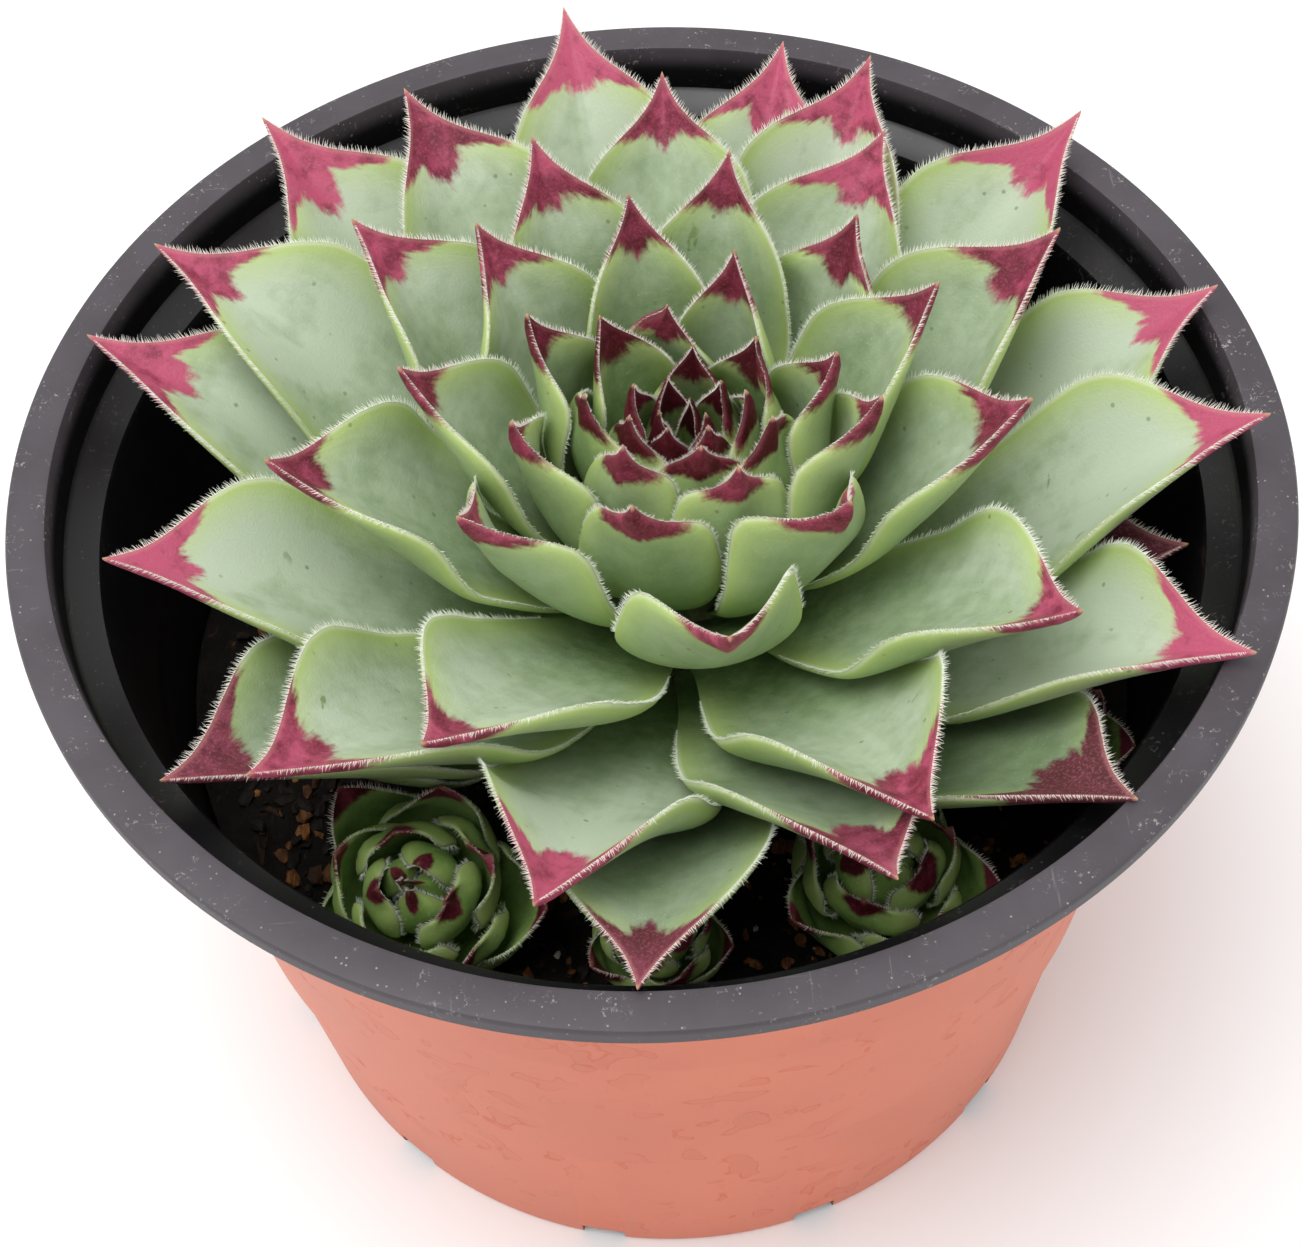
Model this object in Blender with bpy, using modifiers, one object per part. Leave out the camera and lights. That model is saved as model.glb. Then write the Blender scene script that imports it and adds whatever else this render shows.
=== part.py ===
"""A houseleek in a thin plastic nursery pot: pot, soil, crown, leaves, bud and young side rosettes.

The pot stands on the ground plane with its axis on Z. Sizes are in metres, angles in degrees.
"""

from math import atan2, cos, hypot, radians, sin

import bmesh
import bpy
from mathutils import Matrix, Vector

MM = 0.001

# Pot: a thin two-tone shell, black inside and on the rim, terracotta coloured outside.
RIM_RADIUS = 50.0 * MM
POT_HEIGHT = 70.0 * MM
POT_WALL = 0.8 * MM
RIM_WIDTH = 3.15 * MM
LIP_DROP = 1.7 * MM
RIM_EASE = 0.35 * MM
COLLAR_HEIGHT = 4.5 * MM
LEDGE_RISE = 1.0 * MM
BODY_INSET = 5.5 * MM
BODY_TAPER = 6.6 * MM
BODY_TOP_RADIUS = RIM_RADIUS - BODY_INSET
BASE_RADIUS = BODY_TOP_RADIUS - BODY_TAPER
STEP_HEIGHTS = (49.0 * MM, 25.0 * MM)
STEP_WIDTH = 0.5 * MM
FOOT_WIDTH = 5.3 * MM
FOOT_SLOPE = 1.6 * MM
BASE_LIFT = 3.0 * MM
DRAIN_COUNT = 12
DRAIN_WIDTH = 4.0 * MM
DRAIN_HEIGHT = 2.2 * MM
DRAIN_FIRST_ANGLE = -102.5
TURN_STEPS = 48
SMALL_TURN_STEPS = 20

# Soil fills the pot up to this far below the rim.
SOIL_BELOW_RIM = 27.0 * MM
SOIL_MOUND = 1.2 * MM
CLEARANCE = 0.3 * MM

# The plant is laid out for a pot this wide inside and soil this deep under its rim, and is then
# stretched to the room that the pot gives it.
PLANT_ROOM = 43.7 * MM
PLANT_DEPTH = 27.0 * MM

# Main rosette: leaves are numbered outward from the bud, each a golden angle from the last.
ROSETTE_CENTRE = (2.8 * MM, -0.2 * MM)
GOLDEN_ANGLE = 137.508
FIRST_ANGLE = 55.6
FULL_AGE = 73
LEAF_LAST = 83
BUD_LEAVES = 16
MISSING_LEAVES = (43, 44, 46, 47, 48, 49, 52, 57, 58, 60, 62, 69, 72, 74, 75, 76, 80, 81, 82)
CROWN_HEIGHT = 17.0 * MM
CROWN_FOOT = 3.5 * MM
CROWN_TIP_RADIUS = 1.5 * MM
CROWN_SPREAD = 7.0 * MM
CROWN_TAPER = 0.8
CROWN_STEPS = 8

# How a leaf stands at each age: number, tip radius, tip height over the rim, upward bend, width,
# and flesh thickness. Leaves between two rows are interpolated.
GROWTH = (
    (0, 1.2 * MM, 4.5 * MM, 30.0, 3.0 * MM, 0.7 * MM),
    (5, 3.2 * MM, 6.0 * MM, 35.0, 4.5 * MM, 0.8 * MM),
    (10, 5.0 * MM, 7.2 * MM, 35.0, 6.5 * MM, 0.9 * MM),
    (16, 8.5 * MM, 8.6 * MM, 32.0, 8.5 * MM, 1.1 * MM),
    (22, 13.5 * MM, 9.6 * MM, 28.0, 10.5 * MM, 1.3 * MM),
    (28, 20.5 * MM, 10.0 * MM, 22.0, 13.0 * MM, 1.5 * MM),
    (34, 28.5 * MM, 8.5 * MM, 18.0, 15.0 * MM, 1.7 * MM),
    (42, 38.5 * MM, 6.0 * MM, 12.0, 16.0 * MM, 1.7 * MM),
    (50, 44.0 * MM, 5.5 * MM, 8.0, 16.0 * MM, 1.7 * MM),
    (60, 46.0 * MM, 4.5 * MM, 5.0, 16.0 * MM, 1.7 * MM),
    (73, 46.5 * MM, 2.5 * MM, 4.0, 15.5 * MM, 1.7 * MM),
)
BACK_LIFT = 3.0 * MM
FRONT_DROP = 2.0 * MM

# Leaves that their neighbours have pushed aside: number, turn in degrees.
PUSHED_ASIDE = {
    12: 14, 13: -14, 14: 8, 15: 8, 18: -8, 19: 5, 20: 6, 24: -14, 26: -11, 27: 8, 28: 4, 29: -6,
    30: -4, 31: -10, 34: -8, 36: -4, 37: 10, 38: -4, 39: 6, 40: -12, 42: -12, 51: -4, 53: 10,
    54: 4, 55: 4, 59: 6, 61: 4, 66: 4, 67: -6, 68: -6, 70: 8, 77: 6, 78: 8,
}
# Leaves that stand as another number would, where one has grown less or more than its neighbours.
GROWN_LIKE = {
    11: 13, 18: 20, 19: 21, 20: 18, 25: 22, 26: 27, 28: 26, 30: 29, 32: 29, 33: 31, 34: 31, 36: 39,
    37: 33, 39: 37, 40: 36, 41: 44, 42: 40, 50: 44, 53: 56, 54: 48, 55: 48, 59: 50, 63: 54, 65: 56,
    70: 64,
    77: 44, 78: 44, 79: 52, 83: 50,
}
# Leaves that the ones above press down: number, drop of the tip.
PRESSED_DOWN = {
    50: 1.8 * MM, 55: 1.7 * MM, 56: 1.2 * MM, 61: 2.6 * MM, 63: 3.2 * MM, 64: 4.0 * MM, 66: 1.8 * MM,
    71: 3.5 * MM, 77: 12.0 * MM, 78: 12.0 * MM, 79: 9.5 * MM, 83: 3.4 * MM,
}

# Blade outline: share of the length, share of the full width.
OUTLINE = (
    (0.0, 0.42),
    (0.18, 0.55),
    (0.38, 0.8),
    (0.58, 0.98),
    (0.7, 1.0),
    (0.82, 0.84),
    (0.92, 0.42),
    (0.97, 0.16),
    (1.0, 0.0),
)
BLADE_STATIONS = (0.0, 0.2, 0.42, 0.62, 0.8, 0.92, 1.0)
BLADE_ACROSS = 4
BASE_FLESH = 0.3
TIP_FLESH = 0.3
EDGE_FLESH = 0.25

# Side rosettes: name, place of the foot, lean direction, lean, size against the largest.
SIDE_ROSETTES = (
    ("side_rosette_left", -19.0 * MM, -25.0 * MM, -92.0, 18.0, 0.97),
    ("side_rosette_right", 16.5 * MM, -27.5 * MM, -98.0, 9.0, 0.84),
    ("side_rosette_front", -1.5 * MM, -31.0 * MM, -90.0, 8.0, 0.62),
    ("side_rosette_far_right", 30.0 * MM, -15.5 * MM, -30.0, 6.0, 0.75),
)
SIDE_LEAVES = 15
SIDE_RADIUS = 10.5 * MM
SIDE_HEIGHT = 17.0 * MM
SIDE_LEAF_WIDTH = 8.0 * MM
SIDE_LEAF_FLESH = 1.0 * MM
SIDE_BEND = 75.0
SIDE_STALK = 9.0 * MM
SIDE_STALK_RADIUS = 3.2 * MM

GREEN = (0.31, 0.42, 0.24, 1.0)
YOUNG_GREEN = (0.24, 0.4, 0.14, 1.0)
POT_TERRACOTTA = (0.62, 0.2, 0.12, 1.0)
SOIL_BROWN = (0.035, 0.022, 0.015, 1.0)
CROWN_GREEN = (0.35, 0.4, 0.22, 1.0)

PARTS = bpy.data.collections.new("potted_houseleek")
TOOLS = bpy.data.collections.new("cutters_and_joined_pieces")


def start_scene():
    for item in list(bpy.data.objects):
        bpy.data.objects.remove(item, do_unlink=True)
    bpy.context.scene.collection.children.link(PARTS)
    bpy.context.scene.collection.children.link(TOOLS)
    TOOLS.hide_render = True


def material(name, colour, roughness):
    made = bpy.data.materials.new(name)
    made.use_nodes = True
    shader = made.node_tree.nodes["Principled BSDF"]
    shader.inputs["Base Color"].default_value = colour
    shader.inputs["Roughness"].default_value = roughness
    made.diffuse_color = colour
    return made


def place_object(name, mesh, look=None, collection=PARTS):
    made = bpy.data.objects.new(name, mesh)
    collection.objects.link(made)
    if look:
        mesh.materials.append(look)
    if collection is not PARTS:
        made.hide_render = True
        made.display_type = "WIRE"
    return made


def interpolate(rows, key):
    """The row between the two listed rows that lie around the key, without the key itself."""
    for low, high in zip(rows, rows[1:]):
        if key <= high[0]:
            break
    share = (key - low[0]) / (high[0] - low[0])
    return [a + (b - a) * share for a, b in zip(low[1:], high[1:])]


def turned(name, profile, look, steps=TURN_STEPS):
    """A solid turned about Z from a profile of radius and height."""
    mesh = bpy.data.meshes.new(name)
    points = [(radius, 0.0, height) for radius, height in profile]
    mesh.from_pydata(points, [(k, k + 1) for k in range(len(points) - 1)], [])
    made = place_object(name, mesh, look)
    screw = made.modifiers.new("turn", "SCREW")
    screw.steps = screw.render_steps = steps
    screw.use_merge_vertices = True
    screw.merge_threshold = 0.00001
    screw.use_smooth_shade = False
    return made


# ---------------------------------------------------------------- pot and soil


def wall_line():
    """The pot's outer side from under the rim to the foot: radius, height."""
    collar_radius = RIM_RADIUS - RIM_WIDTH + POT_WALL
    top = POT_HEIGHT - POT_WALL
    ledge = top - COLLAR_HEIGHT
    body_top = ledge - LEDGE_RISE
    slope = (BODY_TAPER - STEP_WIDTH * len(STEP_HEIGHTS)) / body_top
    line = [(collar_radius, top), (collar_radius - POT_WALL / 2, ledge), (BODY_TOP_RADIUS, body_top)]
    for count, height in enumerate(STEP_HEIGHTS):
        radius = BODY_TOP_RADIUS - slope * (body_top - height) - STEP_WIDTH * count
        line.append((radius, height))
        line.append((radius - STEP_WIDTH, height - STEP_WIDTH))
    line.append((BASE_RADIUS, 0.0))
    return line


def inner_radius(height):
    """The pot's clear inner radius at a height."""
    line = [(radius - POT_WALL, level + POT_WALL) for radius, level in wall_line()]
    for (upper, high), (lower, low) in zip(line, line[1:]):
        if height >= low:
            break
    return lower + (upper - lower) * (height - low) / (high - low)


def pot_profile():
    foot_inner = BASE_RADIUS - FOOT_WIDTH
    panel_edge = foot_inner - FOOT_SLOPE
    outer = wall_line()
    inner = [(radius - POT_WALL, height + POT_WALL) for radius, height in reversed(outer)]
    floor = [
        (0.0, BASE_LIFT + POT_WALL),
        (panel_edge + POT_WALL / 2, BASE_LIFT + POT_WALL),
        (foot_inner + POT_WALL / 2, POT_WALL),
    ]
    rim = [
        (RIM_RADIUS - RIM_EASE, POT_HEIGHT),
        (RIM_RADIUS, POT_HEIGHT - RIM_EASE),
        (RIM_RADIUS, POT_HEIGHT - LIP_DROP),
        (RIM_RADIUS - POT_WALL, POT_HEIGHT - LIP_DROP),
        (RIM_RADIUS - POT_WALL, POT_HEIGHT - POT_WALL),
    ]
    underside = [(foot_inner, 0.0), (panel_edge, BASE_LIFT), (0.0, BASE_LIFT)]
    return floor + inner + rim + outer + underside


def drain_cutter():
    """Slots through the foot ring, one box for each, all in one mesh."""
    shape = bmesh.new()
    reach = FOOT_WIDTH + FOOT_SLOPE
    for count in range(DRAIN_COUNT):
        turn = Matrix.Rotation(radians(DRAIN_FIRST_ANGLE + 360.0 * count / DRAIN_COUNT), 4, "Z")
        place = turn @ Matrix.Translation((BASE_RADIUS - FOOT_WIDTH / 2, 0.0, 0.0))
        size = Matrix.Diagonal((reach, DRAIN_WIDTH, 2 * DRAIN_HEIGHT, 1.0))
        bmesh.ops.create_cube(shape, size=1.0, matrix=place @ size)
    mesh = bpy.data.meshes.new("drain_slots")
    shape.to_mesh(mesh)
    shape.free()
    return place_object("drain_slots", mesh, collection=TOOLS)


def build_pot():
    pot = turned("pot", pot_profile(), material("pot_plastic", POT_TERRACOTTA, 0.35))
    drains = pot.modifiers.new("drains", "BOOLEAN")
    drains.operation = "DIFFERENCE"
    drains.object = drain_cutter()


def soil_top():
    return POT_HEIGHT - SOIL_BELOW_RIM


def build_soil():
    """The soil follows the pot's inner wall, a clearance inside it, and mounds up at the plant."""
    floor = BASE_LIFT + POT_WALL + CLEARANCE
    edge = soil_top() - SOIL_MOUND
    steps = [step + POT_WALL for step in sorted(STEP_HEIGHTS)]
    corners = [level for step in steps for level in (step - STEP_WIDTH, step) if level < edge]
    levels = [floor] + corners + [edge]
    side = [(inner_radius(level) - CLEARANCE, level) for level in reversed(levels)]
    mound_edge = CROWN_TIP_RADIUS + CROWN_SPREAD + hypot(*ROSETTE_CENTRE) + 2 * CROWN_FOOT
    profile = [(0.0, soil_top()), (mound_edge, soil_top())] + side + [(0.0, floor)]
    turned("soil", profile, material("soil", SOIL_BROWN, 0.95))


# ---------------------------------------------------------------- leaves


def plant_stretch():
    """How far the plant is stretched outward and upward to fill the room over the soil."""
    return (BODY_TOP_RADIUS - POT_WALL) / PLANT_ROOM, SOIL_BELOW_RIM / PLANT_DEPTH


def plant_place():
    """From the plant's own frame, with its origin on the soil under the middle of the rim."""
    outward, upward = plant_stretch()
    return Matrix.Translation((0.0, 0.0, soil_top())) @ Matrix.Diagonal((outward, outward, upward, 1.0))


def crown_line(age):
    """Where a leaf of this age, 0 to 1, joins the crown: radius, height over the soil."""
    radius = CROWN_TIP_RADIUS + CROWN_SPREAD * age**CROWN_TAPER
    height = CROWN_FOOT + (CROWN_HEIGHT - CROWN_FOOT) * (1.0 - age)
    return radius, height


def leaf_plan(number):
    """Everything that sets one main leaf: turn, base, tip, bend, width and flesh."""
    age = number / FULL_AGE
    turn = FIRST_ANGLE + GOLDEN_ANGLE * number + PUSHED_ASIDE.get(number, 0)
    tip_radius, tip_height, bend, width, flesh = interpolate(GROWTH, GROWN_LIKE.get(number, number))
    toward_back = sin(radians(turn))
    lift = BACK_LIFT * max(toward_back, 0.0) - FRONT_DROP * max(-toward_back, 0.0)
    root_radius, root_height = crown_line(age)
    gap = CLEARANCE if number >= BUD_LEAVES else -CLEARANCE
    base = (root_radius + gap, root_height)
    drop = PRESSED_DOWN.get(number, 0.0)
    tip = (tip_radius, PLANT_DEPTH + tip_height + lift * age - drop)
    return turn, base, tip, bend, width, flesh


def blade_point(plan, along, across):
    """A point on a leaf's upper face: along 0 to 1 from base to tip, across -1 to 1.

    The midrib is an arc in the upright plane that holds the axis, and the blade wraps round the
    axis, so the leaves nest like bowls.
    """
    turn, base, tip, bend, width, _ = plan
    chord = hypot(tip[0] - base[0], tip[1] - base[1])
    rise = atan2(tip[1] - base[1], tip[0] - base[0])
    half = radians(bend) / 2
    start = rise - half
    swept = 2 * half * along
    radius_of_arc = chord / (2 * sin(half))
    out = radius_of_arc * (sin(start + swept) - sin(start))
    up = radius_of_arc * (cos(start) - cos(start + swept))
    reach = base[0] + out
    side = across * width / 2 * interpolate(OUTLINE, along)[0]
    angle = radians(turn) + side / max(reach, width / 2)
    return Vector((reach * cos(angle), reach * sin(angle), base[1] + up))


def flesh_share(along, across):
    """How thick the leaf is here, as a share of its flesh."""
    lengthwise = BASE_FLESH + (1.0 - BASE_FLESH) * min(along / 0.42, 1.0)
    if along > 0.7:
        lengthwise = 1.0 - (1.0 - TIP_FLESH) * (along - 0.7) / 0.3
    return lengthwise * (EDGE_FLESH + (1.0 - EDGE_FLESH) * (1.0 - across**2))


def leaf_object(name, plan, look, place, collection=PARTS, stations=BLADE_STATIONS, rows=BLADE_ACROSS):
    """One leaf: a grid laid on the blade's form and thickened downward, thin at its edge and tip."""
    shape = bmesh.new()
    columns = len(stations) - 1
    bmesh.ops.create_grid(shape, x_segments=columns, y_segments=rows, size=1.0)
    weights = shape.verts.layers.deform.verify()
    tips = []
    for vertex in shape.verts:
        along = stations[round((vertex.co.x + 1.0) / 2 * columns)]
        across = vertex.co.y
        vertex[weights][0] = flesh_share(along, across)
        vertex.co = place @ blade_point(plan, along, across)
        if along == stations[-1]:
            tips.append(vertex)
    bmesh.ops.pointmerge(shape, verts=tips, merge_co=tips[0].co.copy())
    mesh = bpy.data.meshes.new(name)
    shape.to_mesh(mesh)
    shape.free()
    made = place_object(name, mesh, look, collection)
    made.vertex_groups.new(name="flesh")
    solid = made.modifiers.new("flesh", "SOLIDIFY")
    solid.thickness = plan[-1] * min(*plant_stretch(), 1.0)
    solid.offset = -1.0
    solid.vertex_group = "flesh"
    return made


def join_collection(base, pieces):
    """Joins every piece to the base, so that they are one closed body."""
    union = base.modifiers.new("join", "BOOLEAN")
    union.operation = "UNION"
    union.operand_type = "COLLECTION"
    union.collection = pieces


def piece_collection(name):
    made = bpy.data.collections.new(name)
    TOOLS.children.link(made)
    made.hide_render = True
    return made


def rosette_place():
    return plant_place() @ Matrix.Translation((*ROSETTE_CENTRE, 0.0))


def turned_in_plant(name, profile, look):
    """A solid turned about the rosette's axis, from a profile in the plant's frame."""
    outward, upward = plant_stretch()
    stretched = [(radius * outward, height * upward) for radius, height in profile]
    made = turned(name, stretched, look, SMALL_TURN_STEPS)
    made.location = rosette_place().translation
    return made


def crown_profile(first_age, last_age):
    """The crown's outline between two leaf ages, from the top down: radius, height."""
    ages = [first_age + (last_age - first_age) * k / CROWN_STEPS for k in range(CROWN_STEPS + 1)]
    return [crown_line(age) for age in ages]


def build_crown():
    """The short stout stem under the rosette. Its top is the bud's own core."""
    side = crown_profile((BUD_LEAVES + 2) / FULL_AGE, 1.0)
    profile = [(0.0, side[0][1])] + side + [(side[-1][0], CLEARANCE), (0.0, CLEARANCE)]
    turned_in_plant("crown", profile, material("crown", CROWN_GREEN, 0.6))


def build_bud(look):
    """The innermost leaves, grown together at the heart, as one body."""
    bud_age = (BUD_LEAVES - 1) / FULL_AGE
    side = crown_profile(0.0, bud_age)
    core = [(radius, height + CLEARANCE) for radius, height in side]
    core = [(0.0, core[0][1] + CROWN_TIP_RADIUS)] + core + [(0.0, core[-1][1])]
    bud = turned_in_plant("bud", core, look)
    pieces = piece_collection("bud_leaves")
    for number in range(BUD_LEAVES):
        leaf_object(f"bud_leaf_{number:02d}", leaf_plan(number), look, rosette_place(), pieces, rows=2)
    join_collection(bud, pieces)


def build_leaves(look):
    for number in range(BUD_LEAVES, LEAF_LAST + 1):
        if number not in MISSING_LEAVES:
            leaf_object(f"leaf_{number:02d}", leaf_plan(number), look, rosette_place())


# ---------------------------------------------------------------- side rosettes


def side_leaf_plan(number, size):
    """A side rosette's leaf: they all curve in over the heart, like a closed ball."""
    age = number / (SIDE_LEAVES - 1)
    turn = GOLDEN_ANGLE * number
    base = (1.0 * MM * size + 1.5 * MM * size * age, (7.0 * MM - 5.5 * MM * age) * size)
    reach = SIDE_RADIUS * size * (0.12 + 0.78 * age**1.1)
    tip = (reach, SIDE_HEIGHT * size * (1.0 - 0.45 * age**2))
    width = SIDE_LEAF_WIDTH * size * (0.4 + 0.6 * age)
    return turn, base, tip, SIDE_BEND, width, SIDE_LEAF_FLESH * size


def build_side_rosette(name, x, y, lean_turn, lean, size, look):
    axis = Vector((-sin(radians(lean_turn)), cos(radians(lean_turn)), 0.0))
    foot = Vector((x, y, CLEARANCE))
    place = plant_place() @ Matrix.Translation(foot) @ Matrix.Rotation(radians(lean), 4, axis)
    stalk = SIDE_STALK * size
    shape = bmesh.new()
    bmesh.ops.create_cone(
        shape, cap_ends=True, segments=10, radius1=SIDE_STALK_RADIUS * size,
        radius2=SIDE_STALK_RADIUS * size / 2, depth=stalk,
        matrix=place @ Matrix.Translation((0.0, 0.0, stalk / 2)),
    )
    mesh = bpy.data.meshes.new(name)
    shape.to_mesh(mesh)
    shape.free()
    core = place_object(name, mesh, look)
    pieces = piece_collection(name + "_leaves")
    for number in range(SIDE_LEAVES):
        leaf_object(
            f"{name}_leaf_{number:02d}", side_leaf_plan(number, size), look, place, pieces,
            stations=(0.0, 0.3, 0.62, 0.84, 1.0), rows=2,
        )
    join_collection(core, pieces)


def build():
    start_scene()
    build_pot()
    build_soil()
    build_crown()
    leaf_look = material("leaf", GREEN, 0.55)
    young_look = material("young_leaf", YOUNG_GREEN, 0.5)
    build_bud(leaf_look)
    build_leaves(leaf_look)
    for row in SIDE_ROSETTES:
        build_side_rosette(*row, young_look)


build()
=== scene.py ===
"""The looks of a houseleek in a thin plastic nursery pot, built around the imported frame.

Lengths are in metres and angles in degrees. The pot stands on the ground plane with its axis on Z.
"""

from math import atan2, cos, hypot, pi, radians, sin

import bpy
import numpy as np
from mathutils import Matrix, Vector, noise
from mathutils.bvhtree import BVHTree


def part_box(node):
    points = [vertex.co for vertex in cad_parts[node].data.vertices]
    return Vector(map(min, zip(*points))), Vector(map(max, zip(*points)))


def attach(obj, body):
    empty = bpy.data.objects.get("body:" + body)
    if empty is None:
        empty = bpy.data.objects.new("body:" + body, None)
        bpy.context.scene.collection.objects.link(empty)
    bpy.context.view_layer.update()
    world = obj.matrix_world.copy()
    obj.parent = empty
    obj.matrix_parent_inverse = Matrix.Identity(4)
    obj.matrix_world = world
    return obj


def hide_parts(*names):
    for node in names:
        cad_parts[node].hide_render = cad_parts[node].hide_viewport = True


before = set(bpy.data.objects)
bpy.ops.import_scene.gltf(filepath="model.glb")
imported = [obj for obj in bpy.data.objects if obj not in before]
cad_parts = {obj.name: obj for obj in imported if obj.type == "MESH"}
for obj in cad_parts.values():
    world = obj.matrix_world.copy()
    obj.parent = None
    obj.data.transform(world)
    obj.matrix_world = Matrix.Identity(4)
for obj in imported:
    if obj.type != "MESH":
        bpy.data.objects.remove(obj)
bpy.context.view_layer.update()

MM = 0.001
BODY = "root"
UPWARD = np.array((0.0, 0.0, 1.0))

# Levels and radii that come from the frame.
RIM_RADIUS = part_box("pot")[1].x
RIM_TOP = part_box("pot")[1].z
SOIL_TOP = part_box("soil")[1].z
SOIL_DEPTH = RIM_TOP - SOIL_TOP

# Pot: a two-tone shell, black inside and on the rim, terracotta coloured outside.
POT_WALL = 0.8 * MM
RIM_WIDTH = 3.15 * MM
LIP_DROP = 1.7 * MM
RIM_EASE = 0.35 * MM  # round on the rim's outer edge
LIP_EASE = 0.15 * MM
INNER_EASE = 0.1 * MM
COLLAR_HEIGHT = 4.5 * MM
LEDGE_RISE = 1.0 * MM
BODY_INSET = 5.5 * MM
BODY_TAPER = 6.6 * MM
BODY_TOP_RADIUS = RIM_RADIUS - BODY_INSET
BASE_RADIUS = BODY_TOP_RADIUS - BODY_TAPER
STEP_HEIGHTS = (49.0 * MM, 25.0 * MM)
STEP_WIDTH = 0.5 * MM
WALL_EASE = 0.25 * MM
FOOT_ROUND = 0.8 * MM  # height where the wall turns under
FOOT_EASE = 0.25 * MM
FOOT_WIDTH = 5.3 * MM
FOOT_SLOPE = 1.6 * MM
BASE_LIFT = 3.0 * MM
DRAIN_COUNT = 12
DRAIN_WIDTH = 4.0 * MM
DRAIN_HEIGHT = 2.2 * MM
DRAIN_FIRST_ANGLE = -102.5
POT_SEGMENTS = 224
AXIS_HOLE = 0.5 * MM  # radius of the small disc that a turned piece starts and ends with
SHARP_EDGE = 32.0  # faces that meet at a wider angle than this keep a crisp edge

# Soil: its lumps, its gaps to the pot, where the litter stops, and how the side draws in to the foot.
LUMP_HEIGHT = 1.2 * MM
LUMP_FADE = 1.2 * MM  # the lumps get lower in this last stretch before the wall
WALL_GAP = 0.1 * MM
LITTER_MARGIN = 2.6 * MM
SOIL_SEGMENTS = 200
RINGS_FROM = 0.6  # radius of the first ring of the lumpy top, in millimetres
RINGS_APART = 0.8  # the same
SOIL_SHOULDER = (0.6 * MM, 8.0 * MM)  # inward and down, from the edge of the top
SOIL_FOOT_INSET = 2.2 * MM
SOIL_FOOT_HEIGHT = 6.0 * MM
SOIL_FOOT_ROUND = 5.0 * MM
SOIL_FLOOR_GAP = 0.4 * MM

# Main rosette: leaves are numbered outward from the bud, each a golden angle from the last.
ROSETTE_CENTRE = (2.8 * MM, -0.2 * MM)
GOLDEN_ANGLE = 137.508
FIRST_ANGLE = 55.6
FULL_AGE = 73
BUD_LEAVES = 16
CLEARANCE = 0.3 * MM
CROWN_HEIGHT = 17.0 * MM
CROWN_FOOT = 3.5 * MM
CROWN_TIP_RADIUS = 1.5 * MM
CROWN_SPREAD = 7.0 * MM
CROWN_TAPER = 0.8

# How a leaf stands at each age: number, tip radius, tip height over the rim, upward bend, width
# and flesh. Leaves between two rows are interpolated.
GROWTH = (
    (0, 1.2 * MM, 4.5 * MM, 30.0, 3.0 * MM, 0.7 * MM),
    (5, 3.2 * MM, 6.0 * MM, 35.0, 4.5 * MM, 0.8 * MM),
    (10, 5.0 * MM, 7.2 * MM, 35.0, 6.5 * MM, 0.9 * MM),
    (16, 8.5 * MM, 8.6 * MM, 32.0, 8.5 * MM, 1.1 * MM),
    (22, 13.5 * MM, 9.6 * MM, 28.0, 10.5 * MM, 1.3 * MM),
    (28, 20.5 * MM, 10.0 * MM, 22.0, 13.0 * MM, 1.5 * MM),
    (34, 28.5 * MM, 8.5 * MM, 18.0, 15.0 * MM, 1.7 * MM),
    (42, 38.5 * MM, 6.0 * MM, 12.0, 16.0 * MM, 1.7 * MM),
    (50, 44.0 * MM, 5.5 * MM, 8.0, 16.0 * MM, 1.7 * MM),
    (60, 46.0 * MM, 4.5 * MM, 5.0, 16.0 * MM, 1.7 * MM),
    (73, 46.5 * MM, 2.5 * MM, 4.0, 15.5 * MM, 1.7 * MM),
)
FULL_WIDTH = 16.0 * MM
BACK_LIFT = 3.0 * MM
FRONT_DROP = 2.0 * MM

# Leaves that their neighbours have pushed aside: number, turn in degrees.
PUSHED_ASIDE = {
    12: 14, 13: -14, 14: 8, 15: 8, 18: -8, 19: 5, 20: 6, 24: -14, 26: -11, 27: 8, 28: 4, 29: -6,
    30: -4, 31: -10, 34: -8, 36: -4, 37: 10, 38: -4, 39: 6, 40: -12, 42: -12, 51: -4, 53: 10,
    54: 4, 55: 4, 59: 6, 61: 4, 66: 4, 67: -6, 68: -6, 70: 8, 77: 6, 78: 8,
}
# Leaves that stand as another number would, where one has grown less or more than its neighbours.
GROWN_LIKE = {
    11: 13, 18: 20, 19: 21, 20: 18, 25: 22, 26: 27, 28: 26, 30: 29, 32: 29, 33: 31, 34: 31, 36: 39,
    37: 33, 39: 37, 40: 36, 41: 44, 42: 40, 50: 44, 53: 56, 54: 48, 55: 48, 59: 50, 63: 54, 65: 56,
    70: 64, 77: 44, 78: 44, 79: 52, 83: 50,
}
# Leaves that the ones above press down: number, drop of the tip.
PRESSED_DOWN = {
    50: 1.8 * MM, 55: 1.7 * MM, 56: 1.2 * MM, 61: 2.6 * MM, 63: 3.2 * MM, 64: 4.0 * MM, 66: 1.8 * MM,
    71: 3.5 * MM, 77: 12.0 * MM, 78: 12.0 * MM, 79: 9.5 * MM, 83: 3.4 * MM,
}

# Blade outline, as share of the length and share of the full width: it draws in to a long point.
OUTLINE = (
    (0.0, 0.42), (0.16, 0.56), (0.34, 0.8), (0.48, 0.95), (0.6, 1.0), (0.69, 0.98), (0.755, 0.89),
    (0.805, 0.72), (0.85, 0.49), (0.89, 0.29), (0.93, 0.145), (0.967, 0.06), (1.0, 0.0),
)
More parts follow.
